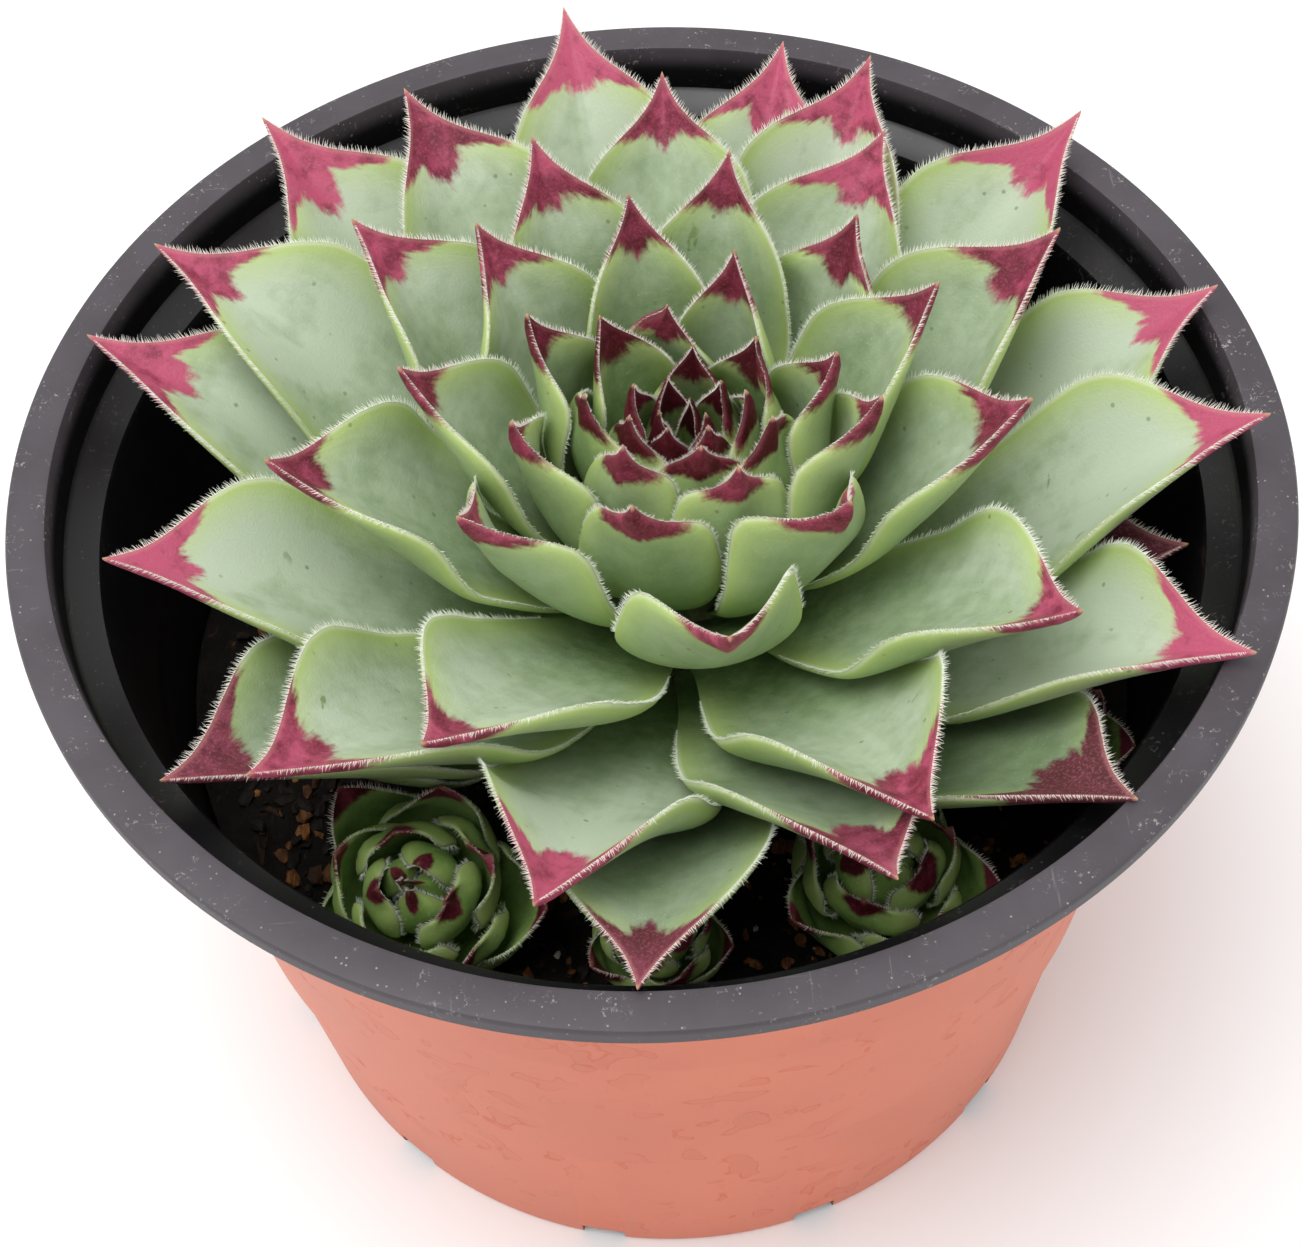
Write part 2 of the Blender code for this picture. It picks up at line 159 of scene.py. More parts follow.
# A young leaf of a side rosette is blunter, with a short point.
YOUNG_OUTLINE = (
    (0.0, 0.5), (0.2, 0.7), (0.42, 0.93), (0.58, 1.0), (0.72, 0.95), (0.83, 0.76), (0.9, 0.5),
    (0.95, 0.23), (0.98, 0.07), (1.0, 0.0),
)

# Leaf points that bend away from the plain arc, in millimetres: number, outward, upward, sideways.
BENT_POINTS = {
    11: (1.5, 0.5, 0.5), 16: (-1.0, -1.0, 0.0), 17: (-1.0, 0.5, 0.5), 21: (-0.5, -0.5, 0.5),
    23: (0.5, 0.5, 1.0), 24: (0.5, 1.0, -0.5), 26: (1.5, 0.0, -1.0), 27: (1.5, 0.0, 0.5),
    30: (-1.0, 0.0, 0.5), 31: (1.5, 0.0, 0.0), 32: (-0.5, 0.0, -0.5), 33: (0.0, 0.0, 1.0),
    34: (-2.5, -2.0, 1.5), 35: (2.0, -0.5, 0.5), 36: (0.5, -0.5, -0.5), 38: (2.0, -1.0, 0.0),
    39: (1.0, 0.0, -1.0), 41: (0.5, -0.5, -1.0), 42: (-2.0, -2.5, -1.0), 45: (0.0, 0.5, -1.0),
    50: (-1.5, -1.5, -1.0), 53: (1.0, 0.0, 0.5), 54: (0.5, 0.0, 0.5), 55: (-0.5, -0.5, 1.5),
    56: (-0.5, 1.0, -1.5), 61: (3.0, 0.5, -2.0), 63: (-0.5, -1.0, -2.5), 64: (1.5, 0.0, -0.5),
    65: (-1.0, 0.5, 1.0), 66: (2.0, 2.0, -0.5), 67: (1.0, -0.5, 1.0), 70: (0.0, -0.5, -0.5),
    71: (2.0, 2.5, 0.5), 73: (-1.5, -0.5, 0.5), 83: (1.5, 0.5, 1.5),
}

# Blades are drawn wider than the frame's leaves, so that they close up over each other, and their
# upper faces swell a little.
BLADE_SPREAD = 1.1
BUD_SPREAD = 1.35
UPPER_SWELL = 0.1 * MM

# How far the red patch reaches back from the point of a leaf: number, length.
PATCH_LENGTHS = (
    (0, 6.4 * MM), (8, 5.2 * MM), (16, 4.7 * MM), (28, 5.4 * MM), (42, 7.6 * MM), (84, 9.6 * MM),
)
# How finely a leaf is drawn: faces around it, and from its base to its point.
LEAF_FACES = (48, 72)
SMALL_LEAF_FACES = (32, 44)
POINT_CROWDING = 1.35  # over 1, the faces get shorter towards the point

# Leaves that live under others, and how much: little bloom, and colour darkened as painted shade.
PAINTED_SHADE_LEAVES = {54: 0.45, 64: 0.7, 67: 0.8, 77: 1.0, 78: 0.9, 79: 0.6, 83: 1.0}

# Side rosettes: node, place of the foot, lean direction, lean, size against the largest.
SIDE_ROSETTES = (
    ("side_rosette_left", -19.0 * MM, -25.0 * MM, -96.0, 22.0, 1.0),
    ("side_rosette_right", 16.5 * MM, -27.5 * MM, -98.0, 10.0, 0.9),
    ("side_rosette_front", -1.5 * MM, -31.0 * MM, -90.0, 8.0, 0.62),
    ("side_rosette_far_right", 30.0 * MM, -15.5 * MM, -30.0, 6.0, 0.75),
)
SIDE_LEAVES = 15
SIDE_BASE_RADIUS = (1.0 * MM, 1.5 * MM)  # of the innermost leaf, and how much farther out the last is
SIDE_BASE_HEIGHT = (7.0 * MM, 5.5 * MM)  # of the innermost leaf, and how much lower the last is
SIDE_RADIUS = 11.3 * MM
SIDE_HEIGHT = 17.0 * MM
SIDE_LEAF_WIDTH = 13.2 * MM
SIDE_LEAF_FLESH = 0.7 * MM
SIDE_BEND = 75.0  # of the innermost leaf
SIDE_OPENING = 28.0  # how much less the outermost leaf bends
SIDE_CHARACTER_AGE = 0.2
SIDE_PATCH = (1.7 * MM, 2.6 * MM)
HEART_LEAVES = 6  # these have larger spots
HEART_PATCH_SHARE = 1.25
SIDE_HAIR_SHARE = 1.3

# A leaf is pressed down where it meets the younger ones above it: how deep to look for them, the gap
# left, the grid that this is worked out on, and how many of its cells the dent spreads and eases over.
PRESS_REACH = 3.0 * MM
PRESS_GAP = 0.15 * MM
PRESS_ROWS = 40
PRESS_COLUMNS = 19
PRESS_SPREAD = 3
PRESS_EASE = 5
BURIED_ROWS = PRESS_ROWS // 6  # rows at the base, which press on nothing

# Hairs along the leaf edges, and the stretch of the leaf, from base to point, that carries them.
HAIR_LENGTH = 0.7 * MM
HAIR_RADIUS = 0.05 * MM
HAIR_SPACING = 0.128 * MM
HAIRY_STRETCH = (0.28, 0.985)

# Soft light from above and the left, over an evenly bright room.
KEY_LIGHT_PLACE = (-0.16, -0.08, 0.74)
KEY_LIGHT_SIZE = 0.5
KEY_LIGHT_POWER = 3.2
ROOM_BRIGHTNESS = 0.86
FLOOR_SIZE = 4.0

# The camera looks at the rosette from the front and above.
CAMERA_DISTANCE = 177.4 * MM
CAMERA_RISE = 49.78
CAMERA_AIM = (-0.43 * MM, -17.08 * MM)
CAMERA_ROLL = -3.55
CAMERA_LENS = 62.55
SENSOR_WIDTH = 36.0
NEAREST_SEEN = 5.0 * MM


# ---------------------------------------------------------------- small helpers


def interpolate(rows, key):
    """The row between the two listed rows that lie around the key, without the key itself."""
    for low, high in zip(rows, rows[1:]):
        if key <= high[0]:
            break
    share = (key - low[0]) / (high[0] - low[0])
    return [a + (b - a) * share for a, b in zip(low[1:], high[1:])]


def smooth_curve(points, at):
    """A smooth curve through the points that doesn't overshoot them, read at an array of places."""
    x, y = np.array(points).T
    step = np.diff(y) / np.diff(x)
    slope = np.zeros_like(y)
    both = step[:-1] * step[1:] > 0
    slope[1:-1][both] = 2 * (step[:-1] * step[1:])[both] / (step[:-1] + step[1:])[both]
    slope[0], slope[-1] = step[0], step[-1]
    k = np.clip(np.searchsorted(x, at, side="right") - 1, 0, len(x) - 2)
    width = x[k + 1] - x[k]
    u = (at - x[k]) / width
    rise = (1 + 2 * u) * (1 - u) ** 2 * y[k] + u * u * (3 - 2 * u) * y[k + 1]
    lean = u * (1 - u) ** 2 * slope[k] - u * u * (1 - u) * slope[k + 1]
    return rise + width * lean


def ramp(value, low, high):
    """0 below low, 1 above high and smooth between."""
    share = np.clip((value - low) / (high - low), 0.0, 1.0)
    return share * share * (3 - 2 * share)


def deselect_all():
    bpy.ops.object.select_all(action="DESELECT")


def finish_piece(piece, name, *looks):
    """Names a piece, gives it its materials and puts its place into its mesh."""
    piece.name = piece.data.name = name
    piece.data.transform(piece.matrix_world)
    piece.matrix_world = Matrix.Identity(4)
    piece.data.materials.clear()
    for look in looks:
        piece.data.materials.append(look)
    return piece


def read_points(mesh):
    points = np.empty(len(mesh.vertices) * 3)
    mesh.vertices.foreach_get("co", points)
    return points.reshape(-1, 3)


def write_points(mesh, points):
    mesh.vertices.foreach_set("co", np.ascontiguousarray(points, dtype=float).ravel())
    mesh.update()


def add_values(mesh, **values):
    """Stores one number for each vertex under each name."""
    for name, numbers in values.items():
        layer = mesh.attributes.new(name, "FLOAT", "POINT")
        layer.data.foreach_set("value", np.broadcast_to(numbers, len(mesh.vertices)).astype(np.float32))


def joined(pieces, name):
    """Joins finished pieces into one object."""
    deselect_all()
    for piece in pieces:
        piece.select_set(True)
    bpy.context.view_layer.objects.active = pieces[0]
    bpy.ops.object.join()
    pieces[0].name = pieces[0].data.name = name
    return pieces[0]


def scattered(name, source, places, values, look):
    """One object made of many copies of a small source shape, each at its own 4 x 4 place."""
    points = read_points(source.data)
    corners = np.array([list(face.vertices) for face in source.data.polygons])
    places = np.array(places)
    count = len(points)
    moved = np.einsum("nij,vj->nvi", places[:, :3, :3], points) + places[:, None, :3, 3]
    faces = (corners[None] + count * np.arange(len(places))[:, None, None]).reshape(-1, corners.shape[1])
    mesh = bpy.data.meshes.new(name)
    mesh.from_pydata(moved.reshape(-1, 3), [], faces.tolist())
    for key, numbers in values.items():
        add_values(mesh, **{key: np.repeat(numbers, count)})
    made = bpy.data.objects.new(name, mesh)
    bpy.context.scene.collection.objects.link(made)
    mesh.materials.append(look)
    return made


# ---------------------------------------------------------------- shader maths


class Value:
    """A shader socket that takes part in plain arithmetic."""

    def __init__(self, tree, socket):
        self.tree = tree
        self.socket = socket

    def math(self, operation, *others):
        return node(self.tree, "ShaderNodeMath", {"operation": operation}, self, *others)

    def __add__(self, other):
        return self.math("ADD", other)

    def __sub__(self, other):
        return self.math("SUBTRACT", other)

    def __mul__(self, other):
        return self.math("MULTIPLY", other)

    def __rsub__(self, other):
        return node(self.tree, "ShaderNodeMath", {"operation": "SUBTRACT"}, other, self)

    __radd__ = __add__
    __rmul__ = __mul__

    def size(self):
        return self.math("ABSOLUTE")

    def most(self, other):
        return self.math("MAXIMUM", other)

    def rising(self, low, high):
        """0 below low, 1 above high, smooth between; with low over high it falls instead."""
        settings = {"interpolation_type": "SMOOTHSTEP", "clamp": True}
        if low <= high:
            return node(self.tree, "ShaderNodeMapRange", settings, self, low, high, 0.0, 1.0)
        return node(self.tree, "ShaderNodeMapRange", settings, self, high, low, 1.0, 0.0)

    def between(self, first, second):
        """Mixes two colours by this value."""
        settings = {"data_type": "RGBA", "clamp_factor": True}
        return node(
            self.tree, "ShaderNodeMix", settings, output=2, Factor_Float=self, A_Color=first, B_Color=second,
        )


def plug(tree, socket, value):
    """Links a value to a socket, or sets the socket to a plain number or colour."""
    if isinstance(value, Value):
        tree.links.new(value.socket, socket)
    elif hasattr(socket.default_value, "__len__") and len(socket.default_value) == 4 and len(value) == 3:
        socket.default_value = (*value, 1.0)
    else:
        socket.default_value = value


def node(tree, kind, settings, *inputs, output=0, **named):
    """Adds a node, makes its settings, then gives its sockets their values or links."""
    made = tree.nodes.new(kind)
    for key, value in settings.items():
        setattr(made, key, value)
    for socket, value in zip(made.inputs, inputs):
        plug(tree, socket, value)
    for key, value in named.items():
        spots = [s for s in made.inputs if s.identifier == key or s.name == key.replace("_", " ")]
        plug(tree, spots[0], value)
    return Value(tree, made.outputs[output])


class Look:
    """A material under construction: its shader and its usual sources of pattern."""

    def __init__(self, name, **constants):
        self.material = bpy.data.materials.new(name)
        self.material.use_nodes = True
        self.tree = self.material.node_tree
        self.shader = self.tree.nodes["Principled BSDF"]
        self.place = node(self.tree, "ShaderNodeTexCoord", {}, output=3)
        for key, value in constants.items():
            plug(self.tree, self.shader.inputs[key.replace("_", " ")], value)

    def attribute(self, name):
        return node(self.tree, "ShaderNodeAttribute", {"attribute_name": name}, output=2)

    def noise(self, grain, detail=2.0, rough=0.5, warp=0.0, place=None):
        """Cloudy noise whose features are about a grain across, in metres."""
        return node(
            self.tree, "ShaderNodeTexNoise", {}, Vector=place or self.place,
            Scale=1.0 / grain, Detail=detail, Roughness=rough, Distortion=warp,
        )

    def cells(self, grain):
        """Distance to the nearest of many scattered spots, about a grain apart."""
        settings = {"feature": "F1"}
        return node(self.tree, "ShaderNodeTexVoronoi", settings, Vector=self.place, Scale=1.0 / grain)

    def stretched(self, x, y, z):
        """The place with each axis scaled by itself, for noise drawn out along the least of them."""
        return node(self.tree, "ShaderNodeVectorMath", {"operation": "MULTIPLY"}, self.place, (x, y, z))

    def combined(self, x, y, z):
        return node(self.tree, "ShaderNodeCombineXYZ", {}, x, y, z)

    def height(self):
        return node(self.tree, "ShaderNodeSeparateXYZ", {}, self.place, output=2)

    def finish(self, colour, roughness, height=None, depth=0.1 * MM, strength=1.0):
        """Plugs in the colour, the roughness and, where a height is given, the bump."""
        plug(self.tree, self.shader.inputs["Base Color"], colour)
        plug(self.tree, self.shader.inputs["Roughness"], roughness)
        if height is not None:
            bump = node(self.tree, "ShaderNodeBump", {}, Strength=strength, Distance=depth, Height=height)
            plug(self.tree, self.shader.inputs["Normal"], bump)
        return self.material


# ---------------------------------------------------------------- materials


def leaf_look(name, deep_green, bloom_green, lime, bloom_share, shadow_green, young=False):
    """Leaf skin: green under a pale bloom, a lime edge, a ragged red patch at the tip.

    It reads what leaf_piece stores: tip and edge are distances from the point and the margin in
    millimetres, across runs from -1 to 1 and along from 0 to 1, under is 1 on the under face, patch
    is the red patch's length, seed differs from leaf to leaf, deep is high in the heart of the
    rosette, and low is high under other leaves and darkens them as painted shade. A young leaf has
    one small dark spot at its tip.
    """
    look = Look(
        name, Subsurface_Weight=0.08, Subsurface_Radius=(0.6, 1.0, 0.3), Subsurface_Scale=1.2 * MM,
        Specular_IOR_Level=0.35,
    )
    tip = look.attribute("tip")
    edge = look.attribute("edge")
    across = look.attribute("across")
    under = look.attribute("under")
    patch = look.attribute("patch")
    seed = look.attribute("seed")
    along = look.attribute("along")
    deep = look.attribute("deep")
    low = look.attribute("low")

    blotches = look.noise(7 * MM, 3.0, 0.55)
    mottle = look.noise(1.6 * MM, 3.0, 0.6)
    grain = look.noise(0.22 * MM, 2.0, 0.6)
    ribs = look.noise(1.0, 3.0, 0.55, place=look.combined(across * 9.0, along * 1.6, seed * 40.0))

    # Bloom: a pale waxy veil, thin at the base and at the margin, rubbed off here and there.
    veil = along.rising(0.12, 0.72) * (0.1 + blotches * 1.8) * (1.3 - deep * 1.1) * bloom_share
    # Leaves under others keep less bloom, which also darkens them as painted shade.
    veil = veil * (0.75 + ribs * 0.5) * (0.65 + mottle * 0.7) * (1.0 - under * 0.55) * (1.0 - low * 0.65)
    rubbed = look.noise(2.4 * MM, 4.0, 0.6, 0.6).rising(0.66, 0.71) * look.noise(9 * MM).rising(0.5, 0.6)
    veil = veil * (1.0 - rubbed * 0.8)
    green = mottle.rising(0.3, 0.75).between(shadow_green, deep_green)
    if not young:
        green = (under * 0.4).between(green, (0.38, 0.51, 0.22))
    green = veil.between(green, bloom_green)
    # Painted shade: leaves under others are drawn toward a dark green.
    green = (low * 0.45).between(green, (0.085, 0.135, 0.06))
    limy = (edge.rising(3.8, 0.4) * 0.55 + edge.rising(1.5, 0.2) * 0.4) * along.rising(0.12, 0.4)
    # The lime edge is weaker on leaves with painted shade.
    green = (limy * (1.0 - low * 0.45)).between(green, lime)
    flecks = grain.rising(0.62, 0.74) * 0.35
    green = flecks.between(green, (0.62, 0.68, 0.5))
    specks = look.cells(1.9 * MM).rising(0.13, 0.07) * look.noise(3.0 * MM).rising(0.5, 0.62)
    green = (specks * 0.55).between(green, (0.12, 0.17, 0.06))

    # Red patch: a middle lobe and, on the older leaves, a streak along each margin, with ragged ends.
    middle = (1.0 - across.size() * 2.3).most(0.0)
    margin = edge.rising(1.9, 0.3)
    ragged = look.noise(1.0, 3.0, 0.6, place=look.combined(across * 7.0, tip * 0.35, seed * 60.0)) - 0.5
    fine = look.noise(0.5 * MM, 3.0, 0.65) - 0.5
    if young:
        shape = 0.42 + (1.0 - across.size() * 1.1).most(0.0) * 0.6
        reach = patch * shape + patch * ragged * 0.2 + fine * 0.4
        red = (reach - tip).rising(-0.25, 0.25)
    else:
        above = 0.74 + middle * (0.08 + seed * 0.3) + margin * (0.24 - deep * 0.26)
        below = 0.4 + middle * 0.22 + edge.rising(3.4, 0.8) * 0.4
        shape = above * (1.0 - under) + below * under
        reach = patch * shape + patch * ragged * 0.34 + fine
        red = (reach - tip).rising(-0.6, 0.6)
    # How dark the red is: darker in the heart, partly the leaves' own deeper red and partly painted shade;
    # darker still under other leaves as painted shade; the outer leaves' lighter, pinker red is partly
    # painted sheen.
    depth = deep + low * 0.4 + (mottle - 0.5) * 1.5 + (blotches - 0.5) * 0.9 + (tip - reach) * 0.02
    half_deep = depth.rising(0.0, 0.6).between((0.5, 0.085, 0.165), (0.22, 0.025, 0.055))
    crimson = depth.rising(0.45, 1.1).between(half_deep, (0.075, 0.003, 0.009))
    # Painted shade: the red of leaves under others is dulled toward a dark brown red.
    crimson = (low * 0.85).between(crimson, (0.085, 0.025, 0.03))
    crimson = (grain.rising(0.5, 0.66) * (0.36 - deep * 0.26)).between(crimson, (0.46, 0.15, 0.19))
    colour = red.between(green, crimson)

    # The very margin is pale where the hairs stand, and the point is straw coloured.
    crest = edge.rising(0.5, 0.12) * (1.0 - under * 0.4) * along.rising(0.2, 0.5)
    if young:
        pale = red.between((0.5, 0.6, 0.32), (0.2, 0.05, 0.06))
        crest = crest * (0.7 - red * 0.62)
        straw = tip.rising(0.6, 0.15) * 0.25
    else:
        pale = red.between((0.72, 0.77, 0.55), (0.6, 0.24, 0.24))
        crest = crest * (0.7 - red * 0.3 - red * deep.rising(0.3, 1.0) * 0.3)
        straw = tip.rising(0.6, 0.15)
    colour = crest.between(colour, pale)
    colour = straw.between(colour, (0.55, 0.31, 0.2))

    roughness = 0.52 + blotches * 0.16 - red * 0.06
    height = grain * 0.5 + mottle * 0.45 + ribs * 0.5 + fine * red * 0.9
    return look.finish(colour, roughness, height, 0.12 * MM, 0.55)


def hair_look():
    """Stiff clear hairs that read white against the dark."""
    look = Look("leaf_hair", Specular_IOR_Level=0.4)
    shade = look.attribute("shade")
    red = look.attribute("blush")
    colour = shade.between((0.72, 0.78, 0.64), (0.92, 0.93, 0.88))
    colour = red.between(colour, (0.86, 0.66, 0.64))
    return look.finish(colour, 0.45 + shade * 0.1)


def black_plastic():
    """Thin black plastic, scuffed and dusty on the rim, glossier down the inside, where painted shade draws
    it near black.
    """
    look = Look("pot_black_plastic")
    upper = look.height().rising(RIM_TOP - 2.5 * MM, RIM_TOP - 0.6 * MM)
    cloud = look.noise(9 * MM, 4.0, 0.6)
    fine = look.noise(0.35 * MM, 3.0, 0.6)
    scratch_1 = look.noise(1.0, 2.0, 0.5, place=look.stretched(90.0, 2400.0, 400.0))
    scratch_2 = look.noise(1.0, 2.0, 0.5, place=look.stretched(2100.0, 160.0, 400.0))
    scratches = scratch_1.rising(0.69, 0.76).most(scratch_2.rising(0.7, 0.77)) * cloud.rising(0.4, 0.6)
    colour = cloud.rising(0.3, 0.7).between((0.05, 0.041, 0.049), (0.07, 0.06, 0.07))
    # Painted shade: below the rim band the plastic is drawn near black, as down the inside of the pot.
    colour = upper.between((0.004, 0.0038, 0.0048), colour)
    drifts = look.noise(3.2 * MM, 4.0, 0.65).rising(0.5, 0.66)
    dust = look.noise(0.42 * MM, 3.0, 0.7, 0.8).rising(0.57, 0.66) * drifts
    specks = look.cells(0.62 * MM).rising(0.17, 0.08) * look.noise(2.4 * MM, 2.0).rising(0.5, 0.6)
    grit = dust.most(specks * 0.9) * (0.12 + upper * 0.6)
    colour = grit.between(colour, (0.42, 0.38, 0.36))
    colour = (scratches * upper * 0.3).between(colour, (0.3, 0.28, 0.29))
    roughness = 0.3 + upper * 0.2 + cloud * 0.12 + grit * 0.3
    height = fine * 0.25 + scratches * -0.7 + grit * 0.8 + cloud * 0.5
    return look.finish(colour, roughness, height, 0.05 * MM, 0.6)


def terracotta_plastic():
    """Smooth terracotta coloured plastic with dried water marks and a little haze."""
    look = Look("pot_terracotta_plastic", Specular_IOR_Level=0.25)
    cloud = look.noise(16 * MM, 4.0, 0.55)
    pools = look.noise(3.0 * MM, 1.0, 0.4, 0.3)
    splashed = look.noise(13 * MM, 2.0).rising(0.44, 0.58)
    stain = (pools - 0.6).size().rising(0.022, 0.006) * splashed
    inside = pools.rising(0.6, 0.64) * splashed
    drops = look.cells(3.4 * MM)
    ring = (drops - 0.2).size().rising(0.05, 0.015) * look.noise(11 * MM, 1.0).rising(0.55, 0.62)
    fine = look.noise(0.3 * MM, 2.0)
    colour = cloud.rising(0.3, 0.7).between((0.59, 0.135, 0.062), (0.64, 0.165, 0.084))
    colour = (inside * 0.35).between(colour, (0.52, 0.1, 0.045))
    colour = (stain.most(ring) * 0.3).between(colour, (0.47, 0.09, 0.04))
    roughness = 0.3 + cloud * 0.16 + stain * 0.15 + fine * 0.04
    height = fine * 0.1 + stain * 0.4 + inside * 0.25 + cloud * 0.6
    return look.finish(colour, roughness, height, 0.04 * MM, 0.5)


def peat_look():
    """Dark damp peat with brown fibre in it."""
    look = Look("peat", Specular_IOR_Level=0.25)
    clumps = look.noise(2.2 * MM, 5.0, 0.7)
    fibre = look.noise(1.0, 3.0, 0.6, 1.5, place=look.stretched(900.0, 320.0, 700.0))
    colour = clumps.rising(0.35, 0.7).between((0.002, 0.0015, 0.0012), (0.01, 0.0065, 0.0045))
    colour = (fibre.rising(0.62, 0.72) * 0.5).between(colour, (0.06, 0.026, 0.012))
    return look.finish(colour, 0.8 + clumps * 0.15, clumps + fibre * 0.4, 0.5 * MM, 0.9)


def bark_look():
    """Bark crumbs and coconut chips, from near black to orange brown."""
    look = Look("bark_chips", Specular_IOR_Level=0.3)
    shade = look.attribute("shade")
    grain = look.noise(1.0, 4.0, 0.6, 0.8, place=look.stretched(1500.0, 500.0, 900.0))
    dark = shade.rising(0.5, 0.95).between((0.005, 0.0035, 0.0025), (0.11, 0.036, 0.01))
    light = shade.rising(0.55, 1.0).between((0.016, 0.009, 0.005), (0.4, 0.17, 0.045))
    colour = grain.rising(0.35, 0.7).between(dark, light)
    return look.finish(colour, 0.6 + grain * 0.3, grain, 0.2 * MM, 0.9)


def grit_look():
    """Pale mineral grains."""
    look = Look("pale_grit")
    shade = look.attribute("shade")
    grain = look.noise(0.4 * MM, 3.0)
    colour = (shade * 0.7 + grain * 0.3).between((0.3, 0.26, 0.2), (0.72, 0.68, 0.6))
    return look.finish(colour, 0.8, grain, 0.1 * MM, 0.8)


def crown_look():
    """Dull green and straw skin of the short stem."""
    look = Look("crown_skin")
    grain = look.noise(0.8 * MM, 4.0, 0.6)
    colour = grain.rising(0.3, 0.7).between((0.12, 0.15, 0.06), (0.26, 0.27, 0.13))
    return look.finish(colour, 0.6 + grain * 0.2, grain, 0.2 * MM, 0.7)


def floor_look():
    return Look("pale_floor").finish((0.94, 0.965, 0.97), 0.9)


# ---------------------------------------------------------------- leaves


def crown_line(age):
    """Where a leaf of this age, 0 to 1, joins the crown: radius, height over the soil."""
    radius = CROWN_TIP_RADIUS + CROWN_SPREAD * age**CROWN_TAPER
    height = CROWN_FOOT + (CROWN_HEIGHT - CROWN_FOOT) * (1.0 - age)
    return radius, height


def leaf_plan(number):
    """Everything that sets one main leaf: turn, base, tip, bend, width and flesh."""
    age = number / FULL_AGE
    turn = FIRST_ANGLE + GOLDEN_ANGLE * number + PUSHED_ASIDE.get(number, 0)
    tip_radius, tip_height, bend, width, flesh = interpolate(GROWTH, GROWN_LIKE.get(number, number))
    toward_back = sin(radians(turn))
    lift = BACK_LIFT * max(toward_back, 0.0) - FRONT_DROP * max(-toward_back, 0.0)
    root_radius, root_height = crown_line(age)
    gap = CLEARANCE if number >= BUD_LEAVES else -CLEARANCE
    base = (root_radius + gap, root_height)
    drop = PRESSED_DOWN.get(number, 0.0)
    tip = (tip_radius, SOIL_DEPTH + tip_height + lift * age - drop)
    return turn, base, tip, bend, width, flesh


def side_leaf_plan(number, size):
    """A side rosette's leaf: the inner ones close over the heart and the outer ones open a little."""
    age = number / (SIDE_LEAVES - 1)
    turn = GOLDEN_ANGLE * number
    inmost, farther = SIDE_BASE_RADIUS
    highest, lower = SIDE_BASE_HEIGHT
    base = (inmost * size + farther * size * age, (highest - lower * age) * size)
    # The innermost tips lean a little past the axis, which closes the heart.
    reach = SIDE_RADIUS * size * (-0.07 + 1.03 * age**1.1)
    tip = (reach, SIDE_HEIGHT * size * (1.0 - 0.45 * age**2))
    width = SIDE_LEAF_WIDTH * size * (0.42 + 0.58 * age**0.8)
    return turn, base, tip, SIDE_BEND - SIDE_OPENING * age, width, SIDE_LEAF_FLESH * size


def read_grid(grid, rows, columns):
    """Reads a grid at fractional rows and columns, straight between its numbers."""
    rows = np.clip(rows, 0.0, grid.shape[0] - 1.001)
    columns = np.clip(columns, 0.0, grid.shape[1] - 1.001)
    i, j = rows.astype(int), columns.astype(int)
    u, v = rows - i, columns - j
    near = grid[i, j] * (1 - v) + grid[i, j + 1] * v
    far = grid[i + 1, j] * (1 - v) + grid[i + 1, j + 1] * v
    return near * (1 - u) + far * u


def neighbours(grid):
    """The grid and its four shifted copies."""
    padded = np.pad(grid, 1, mode="edge")
    return np.stack((grid, padded[:-2, 1:-1], padded[2:, 1:-1], padded[1:-1, :-2], padded[1:-1, 2:]))


class LeavesAbove:
    """The under sides of the leaves made so far, youngest first."""

    def __init__(self):
        self.points, self.faces = [], []

    def settle(self, blade):
        """Presses a leaf under the ones made before it, then adds it to them.

        From under each point of the leaf it looks up for a younger leaf's under side. The base end,
        which hides in the heart, presses on nothing.
        """
        along, across = np.meshgrid(
            np.linspace(0.0, 1.0, PRESS_ROWS), np.linspace(-1.0, 1.0, PRESS_COLUMNS), indexing="ij"
        )
        if self.faces:
            tree = BVHTree.FromPolygons(self.points, self.faces)
            top = blade.skin(along, across, np.zeros_like(along, bool)).reshape(-1, 3)
            up = blade.frame(along, across)[3].reshape(-1, 3)
            sink = np.zeros(len(top))
            for k, (spot, rise) in enumerate(zip(top, up)):
                hit = tree.ray_cast(Vector(spot - rise * PRESS_REACH), Vector(rise), PRESS_REACH + PRESS_GAP)
                if hit[0] is not None:
                    sink[k] = PRESS_REACH + PRESS_GAP - hit[3]
            sink = sink.reshape(along.shape)
            eased = sink
            for _ in range(PRESS_SPREAD):
                eased = neighbours(eased).max(axis=0)
            for _ in range(PRESS_EASE):
                eased = neighbours(eased).mean(axis=0)
            blade.sink = np.maximum(sink, eased)
        under = blade.skin(along, across, np.ones_like(along, bool)).reshape(-1, 3)
        first = len(self.points)
        self.points += under.tolist()
        for row in range(BURIED_ROWS, PRESS_ROWS - 1):
            for column in range(PRESS_COLUMNS - 1):
                corner = first + row * PRESS_COLUMNS + column
                self.faces.append((corner, corner + 1, corner + PRESS_COLUMNS + 1, corner + PRESS_COLUMNS))


